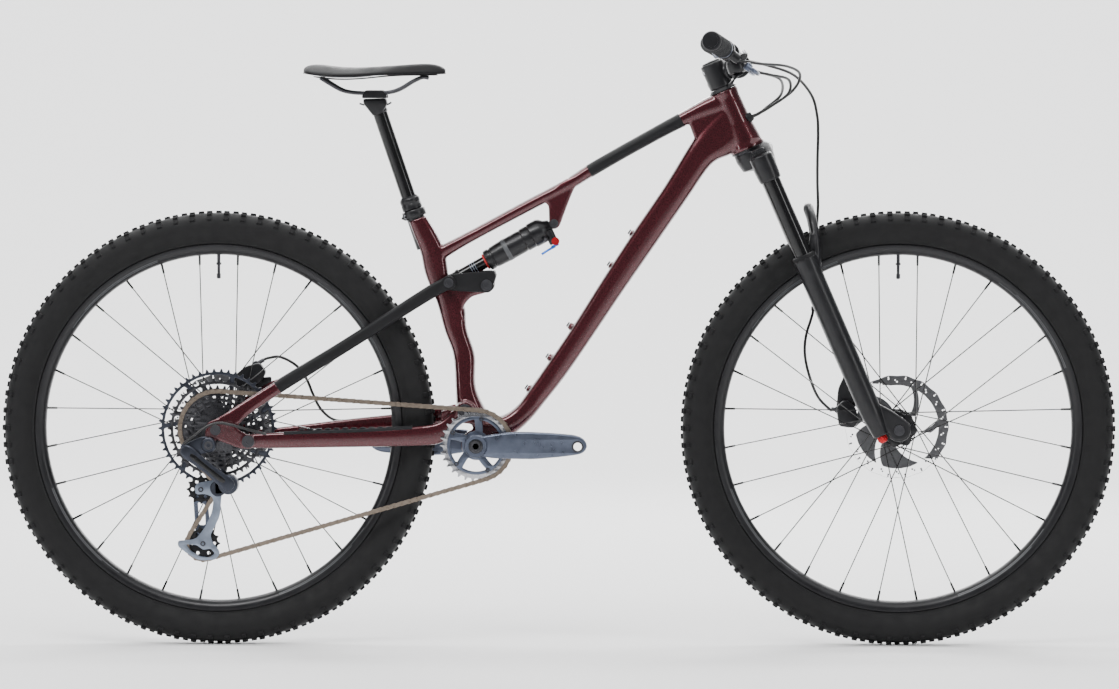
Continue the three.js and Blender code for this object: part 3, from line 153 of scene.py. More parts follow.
# ---------------------------------------------------------------- materials
def finish(name, color, roughness, metallic=0.0, grain=60, fine=900, bump=0.0, spread=0.15, sockets=None):
    """A principled material. A broad noise varies its colour and roughness, and a fine one its relief."""
    made = bpy.data.materials.new(name)
    made.use_nodes = True
    nodes = made.node_tree.nodes
    links = made.node_tree.links
    surface = nodes["Principled BSDF"]
    surface.inputs["Metallic"].default_value = metallic
    for socket, value in (sockets or {}).items():
        surface.inputs[socket].default_value = value
    place = nodes.new("ShaderNodeTexCoord")
    broad = nodes.new("ShaderNodeTexNoise")
    broad.inputs["Scale"].default_value = grain
    broad.inputs["Detail"].default_value = 5
    links.new(place.outputs["Object"], broad.inputs["Vector"])
    tint = nodes.new("ShaderNodeValToRGB")
    tint.color_ramp.elements[0].position = 0.3
    tint.color_ramp.elements[1].position = 0.7
    tint.color_ramp.elements[0].color = (*[c * (1 - spread) for c in color], 1)
    tint.color_ramp.elements[1].color = (*[min(1, c * (1 + spread)) for c in color], 1)
    links.new(broad.outputs["Fac"], tint.inputs["Fac"])
    links.new(tint.outputs["Color"], surface.inputs["Base Color"])
    polish = nodes.new("ShaderNodeMapRange")
    polish.inputs["From Min"].default_value = 0.3
    polish.inputs["From Max"].default_value = 0.7
    polish.inputs["To Min"].default_value = roughness * 0.85
    polish.inputs["To Max"].default_value = min(1, roughness * 1.2)
    links.new(broad.outputs["Fac"], polish.inputs["Value"])
    links.new(polish.outputs["Result"], surface.inputs["Roughness"])
    if bump:
        relief = nodes.new("ShaderNodeTexNoise")
        relief.inputs["Scale"].default_value = fine
        relief.inputs["Detail"].default_value = 4
        links.new(place.outputs["Object"], relief.inputs["Vector"])
        raised = nodes.new("ShaderNodeBump")
        raised.inputs["Strength"].default_value = bump
        raised.inputs["Distance"].default_value = 0.0004
        links.new(relief.outputs["Fac"], raised.inputs["Height"])
        links.new(raised.outputs["Normal"], surface.inputs["Normal"])
    return made


LACQUER = {"Coat Weight": 1.0, "Coat Roughness": 0.04}
DULL = {"Specular IOR Level": 0.22}
PAINT = finish("candy_paint", (0.06, 0.0035, 0.008), 0.28, 0.7, 700, 5200, 0.03, 0.12, LACQUER)
MATTE = finish("matte_black_paint", (0.0065, 0.0065, 0.0075), 0.5, 0.0, 30, 2600, 0.08, 0.15, DULL)
SATIN = finish("satin_black", (0.009, 0.009, 0.0105), 0.34, 0.2, 40, 2600, 0.05, 0.15,
    {"Specular IOR Level": 0.35, "Coat Weight": 0.12, "Coat Roughness": 0.2})
GLOSS = finish("gloss_black", (0.006, 0.006, 0.0065), 0.14, 0.2, 40)
ANODISED = finish("anodised_grey", (0.095, 0.11, 0.15), 0.3, 0.8, 70, 1800, 0.05)
DARK_ANODISED = finish("anodised_dark_grey", (0.035, 0.039, 0.052), 0.34, 0.7, 70, 1800, 0.05)
PLATE = finish("plate_grey", (0.22, 0.255, 0.32), 0.36, 0.75, 70, 1800, 0.05)
STEEL = finish("polished_steel", (0.4, 0.4, 0.42), 0.26, 1.0, 120, 2400, 0.08)
DARK_STEEL = finish("dark_steel", (0.06, 0.06, 0.066), 0.34, 0.9, 90, 2400, 0.06)
ROTOR_STEEL = finish("rotor_steel", (0.085, 0.085, 0.09), 0.52, 0.55, 120, 2400, 0.05)
COG_STEEL = finish("cog_steel", (0.055, 0.055, 0.06), 0.3, 0.9, 90, 2400, 0.08)
CHAIN_STEEL = finish("chain_steel", (0.22, 0.18, 0.145), 0.3, 0.95, 160, 2400, 0.06)
TYRE = finish("tyre_rubber", (0.0095, 0.0095, 0.0102), 0.8, 0.0, 45, 1500, 0.35, 0.15, DULL)
CASING = finish("tyre_sidewall", (0.0075, 0.0075, 0.008), 0.66, 0.0, 45, 3000, 0.3, 0.15, DULL)
STRIPE = finish("grey_stripe", (0.06, 0.063, 0.068), 0.45, 0.1, 60)
GRIP = finish("grip_rubber", (0.013, 0.0135, 0.015), 0.74, 0.0, 60, 2200, 0.4, 0.15, DULL)
LEATHER = finish("saddle_cover", (0.007, 0.007, 0.0078), 0.45, 0.0, 60, 1900, 0.35, 0.15, DULL)
HOSE = finish("hose", (0.006, 0.006, 0.0065), 0.35, 0.0, 60, 1500, 0.1)
PLASTIC = finish("control_plastic", (0.01, 0.01, 0.0115), 0.46, 0.0, 60, 1800, 0.15, 0.15, DULL)
BLUE = finish("anodised_blue", (0.02, 0.11, 0.45), 0.28, 0.85, 60)
RED = finish("anodised_red", (0.45, 0.015, 0.02), 0.3, 0.8, 60)
RED_RUBBER = finish("red_rubber", (0.42, 0.02, 0.02), 0.5, 0.0, 60)


# ---------------------------------------------------------------- geometry
# A shape is a pair: a list of points in millimetres and a list of faces.
def merge(*shapes):
    points, faces = [], []
    for shape_points, shape_faces in shapes:
        base = len(points)
        points += shape_points
        faces += [tuple(i + base for i in face) for face in shape_faces]
    return points, faces


def around(count, offset=0):
    """Angles that share a whole turn evenly."""
    return [TURN * (k + offset) / count for k in range(count)]


def polar(radius, angle):
    return radius * math.cos(angle), radius * math.sin(angle)


def radial(radius, y, angle):
    x, z = polar(radius, angle)
    return vec(x, y, z)


def moved(shape, matrix):
    return [matrix @ p for p in shape[0]], shape[1]


def shifted(shape, offset):
    return [p + offset for p in shape[0]], shape[1]


def mirrored(shape):
    return [vec(p.x, -p.y, p.z) for p in shape[0]], [tuple(reversed(f)) for f in shape[1]]


def both(shape):
    return merge(shape, mirrored(shape))


def aimed(shape, origin, axis):
    """Stands a shape that was made about +Y at origin, with +Y turned to axis."""
    turn = ACROSS.rotation_difference(axis.normalized()).to_matrix().to_4x4()
    return moved(shape, Matrix.Translation(origin) @ turn)


def lathe(profile, segments=48, closed=False):
    """Turns (radius, height) points about +Y."""
    count = len(profile)
    points = [radial(r, h, a) for a in around(segments) for r, h in profile]
    faces = []
    for i in range(segments):
        nxt = (i + 1) % segments
        for k in range(count if closed else count - 1):
            m = (k + 1) % count
            faces.append((i * count + k, i * count + m, nxt * count + m, nxt * count + k))
    return points, faces


def barrel(a, b, radius, tip=None, edge=0.6, segments=32):
    """A round bar from a to b with softened ends."""
    tip = radius if tip is None else tip
    length = (b - a).length
    profile = [(0, 0), (radius - edge, 0), (radius, edge), (tip, length - edge), (tip - edge, length),
        (0, length)]
    return spun(a, b - a, profile, segments)


def smooth_path(stations, per):
    """A Catmull-Rom curve through stations, each a tuple of numbers, with `per` steps a span."""
    ends = [stations[0], *stations, stations[-1]]
    out = []
    for i in range(1, len(ends) - 2):
        p0, p1, p2, p3 = ends[i - 1:i + 3]
        for step in range(per):
            t = step / per
            out.append(tuple(0.5 * (2 * b + (c - a) * t + (2 * a - 5 * b + 4 * c - d) * t * t
                + (3 * b - a - 3 * c + d) * t ** 3) for a, b, c, d in zip(p0, p1, p2, p3)))
    out.append(tuple(stations[-1]))
    return out


def skin(rings, capped=True, looped=False):
    """Joins rings of equally many points."""
    count = len(rings[0])
    points = [p for ring in rings for p in ring]
    faces = []
    spans = len(rings) if looped else len(rings) - 1
    for i in range(spans):
        j = (i + 1) % len(rings)
        for k in range(count):
            m = (k + 1) % count
            faces.append((i * count + k, i * count + m, j * count + m, j * count + k))
    if capped and not looped:
        faces.append(tuple(reversed(range(count))))
        faces.append(tuple(range((len(rings) - 1) * count, len(rings) * count)))
    return points, faces


def tube(stations, per=6, sides=12, squash=1.0, sideways=ACROSS):
    """A round tube on a smooth route. Each station is (x, y, z, radius)."""
    route = smooth_path(stations, per) if per > 1 else stations
    centres = [Vector(s[:3]) for s in route]
    rings = []
    v = sideways.copy()
    for i, centre in enumerate(centres):
        heading = (centres[min(i + 1, len(centres) - 1)] - centres[max(i - 1, 0)]).normalized()
        v = (v - heading * v.dot(heading)).normalized()
        u = v.cross(heading)
        radius = route[i][3]
        rings.append([centre + u * radius * squash * math.cos(a) + v * radius * math.sin(a)
            for a in around(sides)])
    return skin(rings)


def rounded_box(angle, power):
    c, s = math.cos(angle), math.sin(angle)
    return (math.copysign(abs(c) ** (2 / power), c), math.copysign(abs(s) ** (2 / power), s))


def trail(origin, *stations):
    """Stations for a tube, measured from origin."""
    return [(*(origin + Vector(s[:3])), s[3]) for s in stations]


def profile_tube(stations, per=5, sides=28, power=3.0):
    """A tube of changing section. Each station is (upper x, upper z, lower x, lower z, y, width)."""
    rings = []
    for ux, uz, lx, lz, y, width in smooth_path(stations, per):
        upper, lower = vec(ux, y, uz), vec(lx, y, lz)
        middle = (upper + lower) / 2
        rings.append([middle + (upper - middle) * c + ACROSS * (width / 2) * s
            for c, s in (rounded_box(a, power) for a in around(sides))])
    return skin(rings)


def arc_outline(points, radius=4.0, steps=5):
    """A closed outline of (x, z) points with its corners rounded."""
    out = []
    count = len(points)
    for i, corner in enumerate(points):
        here = Vector(corner)
        back = Vector(points[i - 1]) - here
        ahead = Vector(points[(i + 1) % count]) - here
        reach = min(radius, back.length * 0.45, ahead.length * 0.45)
        start, end = here + back.normalized() * reach, here + ahead.normalized() * reach
        for step in range(steps + 1):
            t = step / steps
            out.append(tuple(start * (1 - t) ** 2 + here * 2 * t * (1 - t) + end * t * t))
    return out


def circle(x, z, radius, steps=28, height=None):
    """A round outline about (x, z), or an oval where its half height is given."""
    rise = radius if height is None else height
    return [(x + radius * math.cos(a), z + rise * math.sin(a)) for a in around(steps)]


def flat(outline, y0, y1, holes=(), edge=0.4, rings=1):
    """A plate in the plane of the bike, from y0 to y1, with holes and softened edges."""
    data = bpy.data.curves.new("flat", "CURVE")
    data.dimensions = "2D"
    data.fill_mode = "BOTH"
    data.extrude = (y1 - y0) / 2 - edge
    data.bevel_depth = edge
    data.bevel_resolution = rings
    data.offset = -edge
    for loop in (outline, *holes):
        spline = data.splines.new("POLY")
        spline.points.add(len(loop) - 1)
        spline.use_cyclic_u = True
        for point, (x, z) in zip(spline.points, loop):
            point.co = (x, z, 0, 1)
    holder = bpy.data.objects.new("flat", data)
    bpy.context.scene.collection.objects.link(holder)
    shape = evaluated(holder)
    middle = (y0 + y1) / 2
    return [vec(p.x, middle + p.z, p.y) for p in shape[0]], shape[1]


def evaluated(holder):
    """The final mesh of an object, as a shape, and removes the object."""
    depsgraph = bpy.context.evaluated_depsgraph_get()
    final = holder.evaluated_get(depsgraph)
    mesh = final.to_mesh()
    points = [v.co.copy() for v in mesh.vertices]
    faces = [tuple(p.vertices) for p in mesh.polygons]
    final.to_mesh_clear()
    bpy.data.objects.remove(holder)
    return points, faces


def fused(shape, voxel, smoothing=4):
    """One skin over overlapping closed shapes, with a fillet wherever two of them meet."""
    mesh = bpy.data.meshes.new("fused")
    mesh.from_pydata(shape[0], [], shape[1])
    clean(mesh, 1e-3)
    holder = bpy.data.objects.new("fused", mesh)
    bpy.context.scene.collection.objects.link(holder)
    remesh = holder.modifiers.new("remesh", "REMESH")
    remesh.mode = "VOXEL"
    remesh.voxel_size = voxel
    relax = holder.modifiers.new("relax", "SMOOTH")
    relax.iterations = smoothing
    return evaluated(holder)


def clean(mesh, distance):
    work = bmesh.new()
    work.from_mesh(mesh)
    bmesh.ops.remove_doubles(work, verts=work.verts, dist=distance)
    bmesh.ops.dissolve_degenerate(work, edges=work.edges, dist=distance / 10)
    bmesh.ops.recalc_face_normals(work, faces=work.faces)
    work.to_mesh(mesh)
    work.free()


def make(name, shape, material, body, replaces=(), slot=None, edge=0.0, smooth=0, sharp=38):
    """A piece of the bike. `edge` bevels it, and `smooth` subdivides it."""
    materials = material if isinstance(material, tuple) else (material,)
    mesh = bpy.data.meshes.new(name)
    mesh.from_pydata([p * MM for p in shape[0]], [], shape[1])
    clean(mesh, 2e-6)
    mesh.shade_smooth()
    if not smooth:
        mesh.set_sharp_from_angle(angle=math.radians(sharp))
    for each in materials:
        mesh.materials.append(each)
    piece = bpy.data.objects.new(name, mesh)
    bpy.context.scene.collection.objects.link(piece)
    if edge:
        bevel = piece.modifiers.new("edge", "BEVEL")
        bevel.width = edge * MM
        bevel.segments = 2
        bevel.limit_method = "ANGLE"
        bevel.angle_limit = math.radians(sharp)
    if smooth:
        finer = piece.modifiers.new("smooth", "SUBSURF")
        finer.levels = finer.render_levels = smooth
    if body:
        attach(piece, body)
    if replaces:
        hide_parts(*replaces)
    return piece


def two_tone(piece, cuts, is_second):
    """Splits the faces along planes, and gives the second material where is_second(point) holds."""
    work = bmesh.new()
    work.from_mesh(piece.data)
    for point, normal in cuts:
        near = [f for f in work.faces if (f.calc_center_median() / MM - point).length < 160]
        parts = {v for f in near for v in f.verts} | {e for f in near for e in f.edges} | set(near)
        bmesh.ops.bisect_plane(work, geom=list(parts), plane_co=point * MM, plane_no=normal)
    for face in work.faces:
        face.material_index = 1 if is_second(face.calc_center_median() / MM) else 0
    work.to_mesh(piece.data)
    work.free()


def spun(origin, axis, profile, segments=48, closed=False):
    """Turns (radius, height) points about an axis through origin."""
    return aimed(lathe(profile, segments, closed), origin, axis)


def sideways(centre, profile, segments=48, closed=False):
    """Turns (radius, height) points about the line across the bike through centre."""
    return shifted(lathe(profile, segments, closed), centre)


def plate(points, corner, y0, y1, holes=(), edge=0.4, rings=1):
    """A flat plate whose corners are rounded: by a radius, or by a radius and a count of steps."""
    rounding = corner if isinstance(corner, tuple) else (corner,)
    return flat(arc_outline(points, *rounding), y0, y1, holes, edge, rings)


def bolt(centre, axis, radius, height=3.0, socket=None):
    """A bolt head with a hexagon socket. It stands on centre and points along axis."""
    socket = socket or radius * 0.5
    steps = 24
    outer = [(radius, 0), (radius, height - 0.6), (radius - 0.6, height)]
    rings = [[radial(r, h, a) for a in around(steps)] for r, h in outer]
    for h in (height, height - 2.0):
        bends = [(a, (a + math.pi / 6) % (math.pi / 3) - math.pi / 6) for a in around(steps)]
        rings.append([radial(socket * 0.87 / math.cos(bend), h, a) for a, bend in bends])
    return aimed(skin(rings), centre, axis)


def pair_of_bolts(place, y, radius, height=3.0):
    """The same bolt head on both sides of the bike."""
    return both(bolt(at((place.x, place.z), y), ACROSS, radius, height))


def spiral_window(inner, outer, start, width, skew, corner=3.0):
    """A window between two curved arms, as an outline about the origin."""
    steps = 6
    ahead, behind = [], []
    for i in range(steps + 1):
        share = i / steps
        r = inner + (outer - inner) * share
        middle = start + skew * share
        ahead.append(polar(r, middle + width(r) / 2))
        behind.append(polar(r, middle - width(r) / 2))
    arc = [polar(outer, start + skew + width(outer) * s) for s in (0.25, 0, -0.25)]
    low = [polar(inner, start + width(inner) * s) for s in (-0.25, 0, 0.25)]
    return arc_outline(ahead + arc + behind[::-1] + low, corner, 2)


def teeth_radius(teeth):
    return CHAIN_PITCH / (2 * math.sin(math.pi / teeth))


def gear(teeth, height=2.0, depth=3.4):
    """The outline of a sprocket about the origin."""
    pitch = teeth_radius(teeth)
    step = 2 * math.pi / teeth
    form = [(-depth, -0.32), (-depth + 0.4, -0.24), (height - 0.6, -0.1), (height, -0.05), (height, 0.05),
        (height - 0.6, 0.1), (-depth + 0.4, 0.24), (-depth, 0.32)]
    return [polar(pitch + h, step * (k + s)) for k in range(teeth) for h, s in form]


# ---------------------------------------------------------------- wheels
def block(centre, out, forward, size, taper=0.82):
    """A tread knob: a box that narrows towards its top."""
    side = out.cross(forward).normalized()
    length, width, height = size
    points = []
    for level, share in ((-1.5, 1.0), (height, taper)):
        for u, v in ((-1, -1), (1, -1), (1, 1), (-1, 1)):
            points.append(centre + out * level + forward * (u * length / 2 * share) + side
                * (v * width / 2 * share))
    faces = [(3, 2, 1, 0), (4, 5, 6, 7), (0, 1, 5, 4), (1, 2, 6, 5), (2, 3, 7, 6), (3, 0, 4, 7)]
    return points, faces


def tyre_casing():
    half = [(311.5, 15), (317.5, 15.2), (319.5, 17.6), (321.5, 17.6), (323, 18.4), (331, 23.6),
        (339, 27.4), (348, 29), (356, 28.2), (363, 24), (368, 17), (370.6, 9)]
    outside = [(r, -y) for r, y in half] + [(371.4, 0)] + half[::-1]
    inside = [(311.5, 12), (345, 26), (366, 10), (366, -10), (345, -26), (311.5, -12)]
    return lathe(outside + inside, 144, closed=True)


def tyre_knobs():
    """Rows of a pair of middle knobs, a pair of in-between knobs and a pair of shoulder knobs."""
    rows = 78
    shapes = []
    for i in range(rows):
        angle = TURN * i / rows
        odd = i % 2
        plan = [(371.2, 5.5 + 2.5 * odd, 4, (10.5, 7.5, 3.6)),
            (368.2, 15.5 - odd, 26, (9 + odd, 6.5, 3.6)), (361.5, 24.6, 52, (10 if odd else 8, 8, 3.6))]
        for radius, y, lean, size in plan:
            for side in (-1, 1):
                turn = angle + (0.5 * side + 0.5) * math.pi / rows
                outward = vec(math.cos(turn), 0, math.sin(turn))
                forward = vec(-math.sin(turn), 0, math.cos(turn))
                tilt = math.radians(lean)
                out = outward * math.cos(tilt) + ACROSS * side * math.sin(tilt)
                shapes.append(block(outward * radius + ACROSS * side * y, out, forward, size))
    return merge(*shapes)


def rim_shape():
    half = [(299, 0), (299.4, 6.5), (301.5, 10.5), (305, 14.2), (309, 16.6), (313, 17.5), (316.6, 17.5),
        (317, 17.1), (317, 15.6), (316, 15), (311, 15), (310, 13), (309.5, 0)]
    return lathe([(r, -y) for r, y in half[::-1][1:]] + half[:-1], 144, closed=True)


def rim_stripes():
    """Four plain arcs on each side of the rim, just proud of its flank."""
    shapes = []
    steps = 26
    for start in (0.35, 1.92, 3.49, 5.06):
        for width, r0, r1 in ((0.62, 304.4, 305.6), (0.5, 306.6, 307.8)):
            rings = []
            for i in range(steps + 1):
                angle = start + width * i / steps
                flank = [(r, 14.2 + (r - 305) * 0.6 + 0.25) for r in (r0, r1)]
                flank += [(r, y - 0.6) for r, y in flank[::-1]]
                rings.append([radial(r, y, angle) for r, y in flank])
            shapes.append(skin(rings))
    return both(merge(*shapes))


def spoke_lines(flanges, hole_radius=29.0, offset=3.4):
    """Three-cross spokes, each with its elbow and its nipple."""
    tip = 297.5
    sweep = 3 * 4 * math.pi / SPOKES
    wires = []
    for i in range(SPOKES):
        leading = 1 if (i // 2) % 2 == 0 else -1
        rim_angle = TURN * (i + 0.5) / SPOKES + math.pi / 2
        hub_angle = rim_angle + leading * sweep
        flange = flanges[i % 2]
        y = flange + math.copysign(offset * leading, flange)
        start = radial(hole_radius, y, hub_angle)
        end = radial(tip, math.copysign(2, y), rim_angle)
        heading = (end - start).normalized()
        wires.append(barrel(start, end, 1.0, edge=0.2, segments=8))
        elbow = vec(start.x, flange - math.copysign(1.5 * leading, flange), start.z)
        wires.append(barrel(elbow, start, 1.05, edge=0.2, segments=8))
        wires.append(barrel(end - heading * 15, end + heading * 3, 1.9, 2.1, 0.5, 8))
    return merge(*wires)


def lobed_flange(y):
    """A hub flange whose rim swells round each pair of spoke holes."""
    outline = [polar(29.6 + 2.6 * math.cos(7 * a + 0.6), a) for a in around(140)]
    windows = [circle(*polar(21.5, a), 3.2, 12) for a in around(7, 0.5)]
    return flat(outline, y - 1.8, y + 1.8, windows, 0.7)


def hub_shell(half, flanges, rotor_y, driver_end):
    left, right = flanges
    body = [(6.6, right - 9), (19, right - 9), (21, right - 6), (21.5, right + 2), (17, right + 8),
        (14.8, right + 15), (14.8, left - 15), (17, left - 8), (20.5, left - 2), (20.5, left + 2),
        (17.5, left + 5), (17, rotor_y - 3), (17, rotor_y + 3.5), (15.5, rotor_y + 4.5),
        (11, rotor_y + 4.8), (10.6, half - 1), (10, half), (6.6, half)]
    shapes = [lathe(body, 56), lobed_flange(left), lobed_flange(right)]
    end = [(6.6, -half), (10, -half), (10.6, -half + 1), (10.6, driver_end or right - 9),
        (12.5, driver_end or right - 9), (12.5, right - 8), (6.6, right - 8)]
    shapes.append(lathe(end, 40))
    return merge(*shapes)


def lockring(y):
    """The splined ring that holds the rotor on the hub."""
    outline = [polar(15.2 if (i // 3) % 2 else 14.2, a) for i, a in enumerate(around(96))]
    return flat(outline, y, y + 2.4, [circle(0, 0, 10.9)], 0.3)


def rotor_shape(y):
    """A wavy braking ring with slots, on six curved arms."""
    rim = [polar(89.2 + 0.8 * math.cos(18 * a), a) for a in around(180)]
    windows = [spiral_window(27, 72.5, a, lambda r: 1.047 - 11.5 / r, 0.62) for a in around(6)]
    for k, angle in enumerate(around(36)):
        r, lean = (78.2, 0.5) if k % 2 else (84.2, -0.5)
        near = Vector(polar(r, angle))
        far = near + Vector(polar(1, angle + lean)) * 3.4
        x, z = polar(1.5, angle + 1.57)
        windows += [circle(*near, 1.5, 8), circle(far.x + x, far.y + z, 1.2, 8)]
    return flat(rim, y - 0.9, y + 0.9, windows, 0.25)


def valve():
    profile = [(0, 0), (3, 0), (3, 14), (4.5, 15), (4.5, 18), (2.6, 19), (2.6, 33), (3.6, 34), (3.6, 41),
        (2.4, 42.5), (0, 42.5)]
    return spun(vec(0, 0, 300), -UP, profile, 20)


def wheel(prefix, centre, half, flanges, rotor_y, driver_end):
    body = f"{prefix}_wheel"

    def place(name, shape, material, replaces=(), **more):
        make(f"{prefix}_{name}", shifted(shape, centre), material, body, replaces, **more)

    place("tyre_casing", tyre_casing(), CASING, (f"{prefix}_tyre",))
    place("tyre_knobs", tyre_knobs(), TYRE, edge=0.5)
    place("rim_hoop", rim_shape(), SATIN, (f"{prefix}_rim",), slot="rim_black")
    place("rim_stripes", rim_stripes(), STRIPE, slot="rim_black")
    place("valve", valve(), DARK_STEEL)
    place("spoke_set", spoke_lines(flanges), GLOSS, (f"{prefix}_spokes",), slot="spoke_black")
    place("hub_shell", hub_shell(half, flanges, rotor_y, driver_end), SATIN, (f"{prefix}_hub",))
    place("rotor_disc", rotor_shape(rotor_y), ROTOR_STEEL, (f"{prefix}_rotor",))
    place("rotor_carrier", flat(circle(0, 0, 31, 60), rotor_y - 1.6, rotor_y + 1.6,
        [circle(0, 0, 16.5, 40)], 0.4), SATIN)
    place("rotor_lockring", lockring(rotor_y + 1.7), ANODISED)


def wheels():
    wheel("rear", REAR, 74, (33, -20), 57, -70)
    wheel("front", FRONT, 55, (26, -34), 40, None)


# ---------------------------------------------------------------- front triangle
BOSSES = [(126, 712), (90, 657), (20, 552), (-16, 498), (-52, 444)]
BOSS_OUT = vec(-0.834, 0, 0.551)
BAND_START = vec(53, 0, 820)
BAND_ALONG = vec(0.868, 0, 0.496)
BAND_LENGTH = 182
FRAME_VOXEL = 1.9


def frame_tubes():
    top_tube = profile_tube([(-212, 686, -200, 664, 0, 34), (-160, 712, -151, 694, 0, 38),
        (-60, 766, -50, 748, 0, 41), (11, 804, 21, 785, 0, 43), (53, 831, 64, 811, 0, 43),
        (130, 875, 141, 855, 0, 42), (213, 921, 226, 899, 0, 41), (262, 948, 280, 915, 0, 41),
        (296, 960, 310, 920, 0, 40)])
    down_tube = profile_tube([(284, 936, 322, 860, 0, 44), (249, 896, 296, 846, 0, 47),
        (222, 856, 264, 829, 0, 51), (184, 794, 222, 769, 0, 53), (127, 710, 164, 685, 0, 53),
        (75, 630, 110, 607, 0, 53), (24, 549, 57, 528, 0, 54), (-18, 487, 15, 467, 0, 56),
        (-49, 443, -20, 422, 0, 60), (-72, 413, -48, 388, 0, 65), (-100, 396, -78, 362, 0, 69),
        (-150, 386, -128, 330, 0, 71)], power=3.6)
    seat_tube = profile_tube([(-258, 731, -228, 742, 0, 36), (-248, 704, -210, 712, 0, 38),
        (-237, 676, -196, 682, 0, 39), (-231, 646, -190, 650, 0, 39), (-221, 618, -186, 620, 0, 39),
        (-210, 594, -162, 588, 0, 41), (-196, 543, -157, 545, 0, 43), (-181, 500, -143, 500, 0, 47),
        (-177, 440, -140, 440, 0, 57), (-175, 385, -108, 380, 0, 66)])
    lobe = plate([(-200, 566), (-160, 560), (-165, 578), (-160, 590), (-149, 602), (-123, 609),
        (-112, 614), (-111, 627), (-118, 634), (-130, 632), (-146, 618), (-168, 616), (-200, 622)],
        (5, 3), -18, 18, (), 3)
    gusset_outline = [(-26, 768), (-16, 759), (-15, 727), (-10, 719), (2, 721), (16, 759), (29, 791),
        (45, 807), (64, 820), (30, 813), (0, 797)]
    gusset = plate(gusset_outline, (5, 3), -20, -13, (), 2)
    web = flat([(-20, 764), (18, 766), (30, 792), (58, 816), (30, 812), (0, 796)], -16, 16, (), 1)
    head = spun(HEAD_TOP, HEAD_DOWN, [(0, 0), (24.2, 0), (25, 2), (23.5, 14), (24.6, 60), (28.5, 96),
        (30.5, 104), (30.5, 108), (29.5, 109.5), (0, 109.5)], 56)
    web_head = plate([(225, 902), (240, 930), (284, 948), (316, 862), (282, 846), (255, 846), (236, 872)],
        (9, 4), -19, 19, (), 4)
    shell = sideways(CRANK, [(0, -36.5), (26, -36.5), (27, -35), (27, 35), (26, 36.5), (0, 36.5)], 56)
    pivot = sideways(MAIN_PIVOT, [(0, -33), (16, -33), (17, -32), (17, 32), (16, 33), (0, 33)], 48)
    rocker_boss = sideways(ROCKER_PIVOT, [(0, -21), (11.4, -21), (12, -20.4), (12, 20.4), (11.4, 21),
        (0, 21)], 40)
    shapes = [top_tube, down_tube, seat_tube, lobe, both(gusset), web, head, web_head, shell, pivot,
        rocker_boss]
    for place in BOSSES:
        foot = at(place)
        shapes.append(barrel(foot - BOSS_OUT * 8, foot + BOSS_OUT * 1.6, 6.5))
    return fused(merge(*shapes), FRAME_VOXEL, 5)


def on_band(point):
    """Whether a point is on the matt black band of the top tube."""
    clear_of_down_tube = point.z > 0.55 * point.x + 770
    return clear_of_down_tube and 0 < (point - BAND_START).dot(BAND_ALONG) < BAND_LENGTH


def front_triangle():
    frame_piece = make("front_triangle", frame_tubes(), (PAINT, MATTE), "frame", ("main_frame",),
        sharp=60)
    ends = [BAND_START, BAND_START + BAND_ALONG * BAND_LENGTH]
    two_tone(frame_piece, [(end, BAND_ALONG) for end in ends], on_band)
    for i, place in enumerate(BOSSES):
        make(f"boss_bolt_{i}", bolt(at(place) + BOSS_OUT * 2.2, BOSS_OUT, 4.6, 2.6), DARK_STEEL, "frame")
    make("headset_cup_lower", spun(HEAD_BOTTOM - HEAD_DOWN * 0.4, HEAD_DOWN,
        [(20, 0), (30.2, 0), (30.8, 0.6), (30.2, 2.4), (28, 3.4), (20, 3.4)], 56), SATIN, "frame")
    make("shock_top_bolt", merge(bolt(SHOCK_UPPER + ACROSS * 20, ACROSS, 7.5, 2.6),
        bolt(SHOCK_UPPER - ACROSS * 20, -ACROSS, 7.5, 2.6)), DARK_STEEL, "frame")
    cups = lathe([(12.5, -46), (20.5, -46), (22, -45), (22.5, -44), (22.5, -38), (21.5, -37),
        (12.5, -37)], 56, closed=True)
    make("bottom_bracket_cups", shifted(both(cups), CRANK), DARK_STEEL, "frame", ("bottom_bracket",))
    axle = merge(pair_of_bolts(MAIN_PIVOT, 45.8, 12.5, 3), pair_of_bolts(MAIN_PIVOT, 45.8, 9, 3.6),
        sideways(MAIN_PIVOT, [(0, -46), (8, -46), (8, 46), (0, 46)], 24))
    make("main_pivot_bolt", axle, DARK_STEEL, "frame", ("main_pivot_axle",))
    make("rocker_pivot_bolt", merge(pair_of_bolts(ROCKER_PIVOT, 30.3, 10, 3.4),
        sideways(ROCKER_PIVOT, [(0, -30), (6, -30), (6, 30), (0, 30)], 24)), DARK_STEEL, "frame",
        ("rocker_pivot_axle",))


def cable_port():
    """The grommet on the head tube that the bar lines go into."""
    base = vec(322, -9.5, 906.5)
    out = vec(0.85, 0, 0.53).normalized()
    profile = [(0, 0), (9, 0), (9.5, 2), (8.6, 5), (7.4, 9.5), (6.4, 11), (0, 11)]
    make("cable_grommet", spun(base + out * 4, out, profile, 28), PLASTIC, "frame")


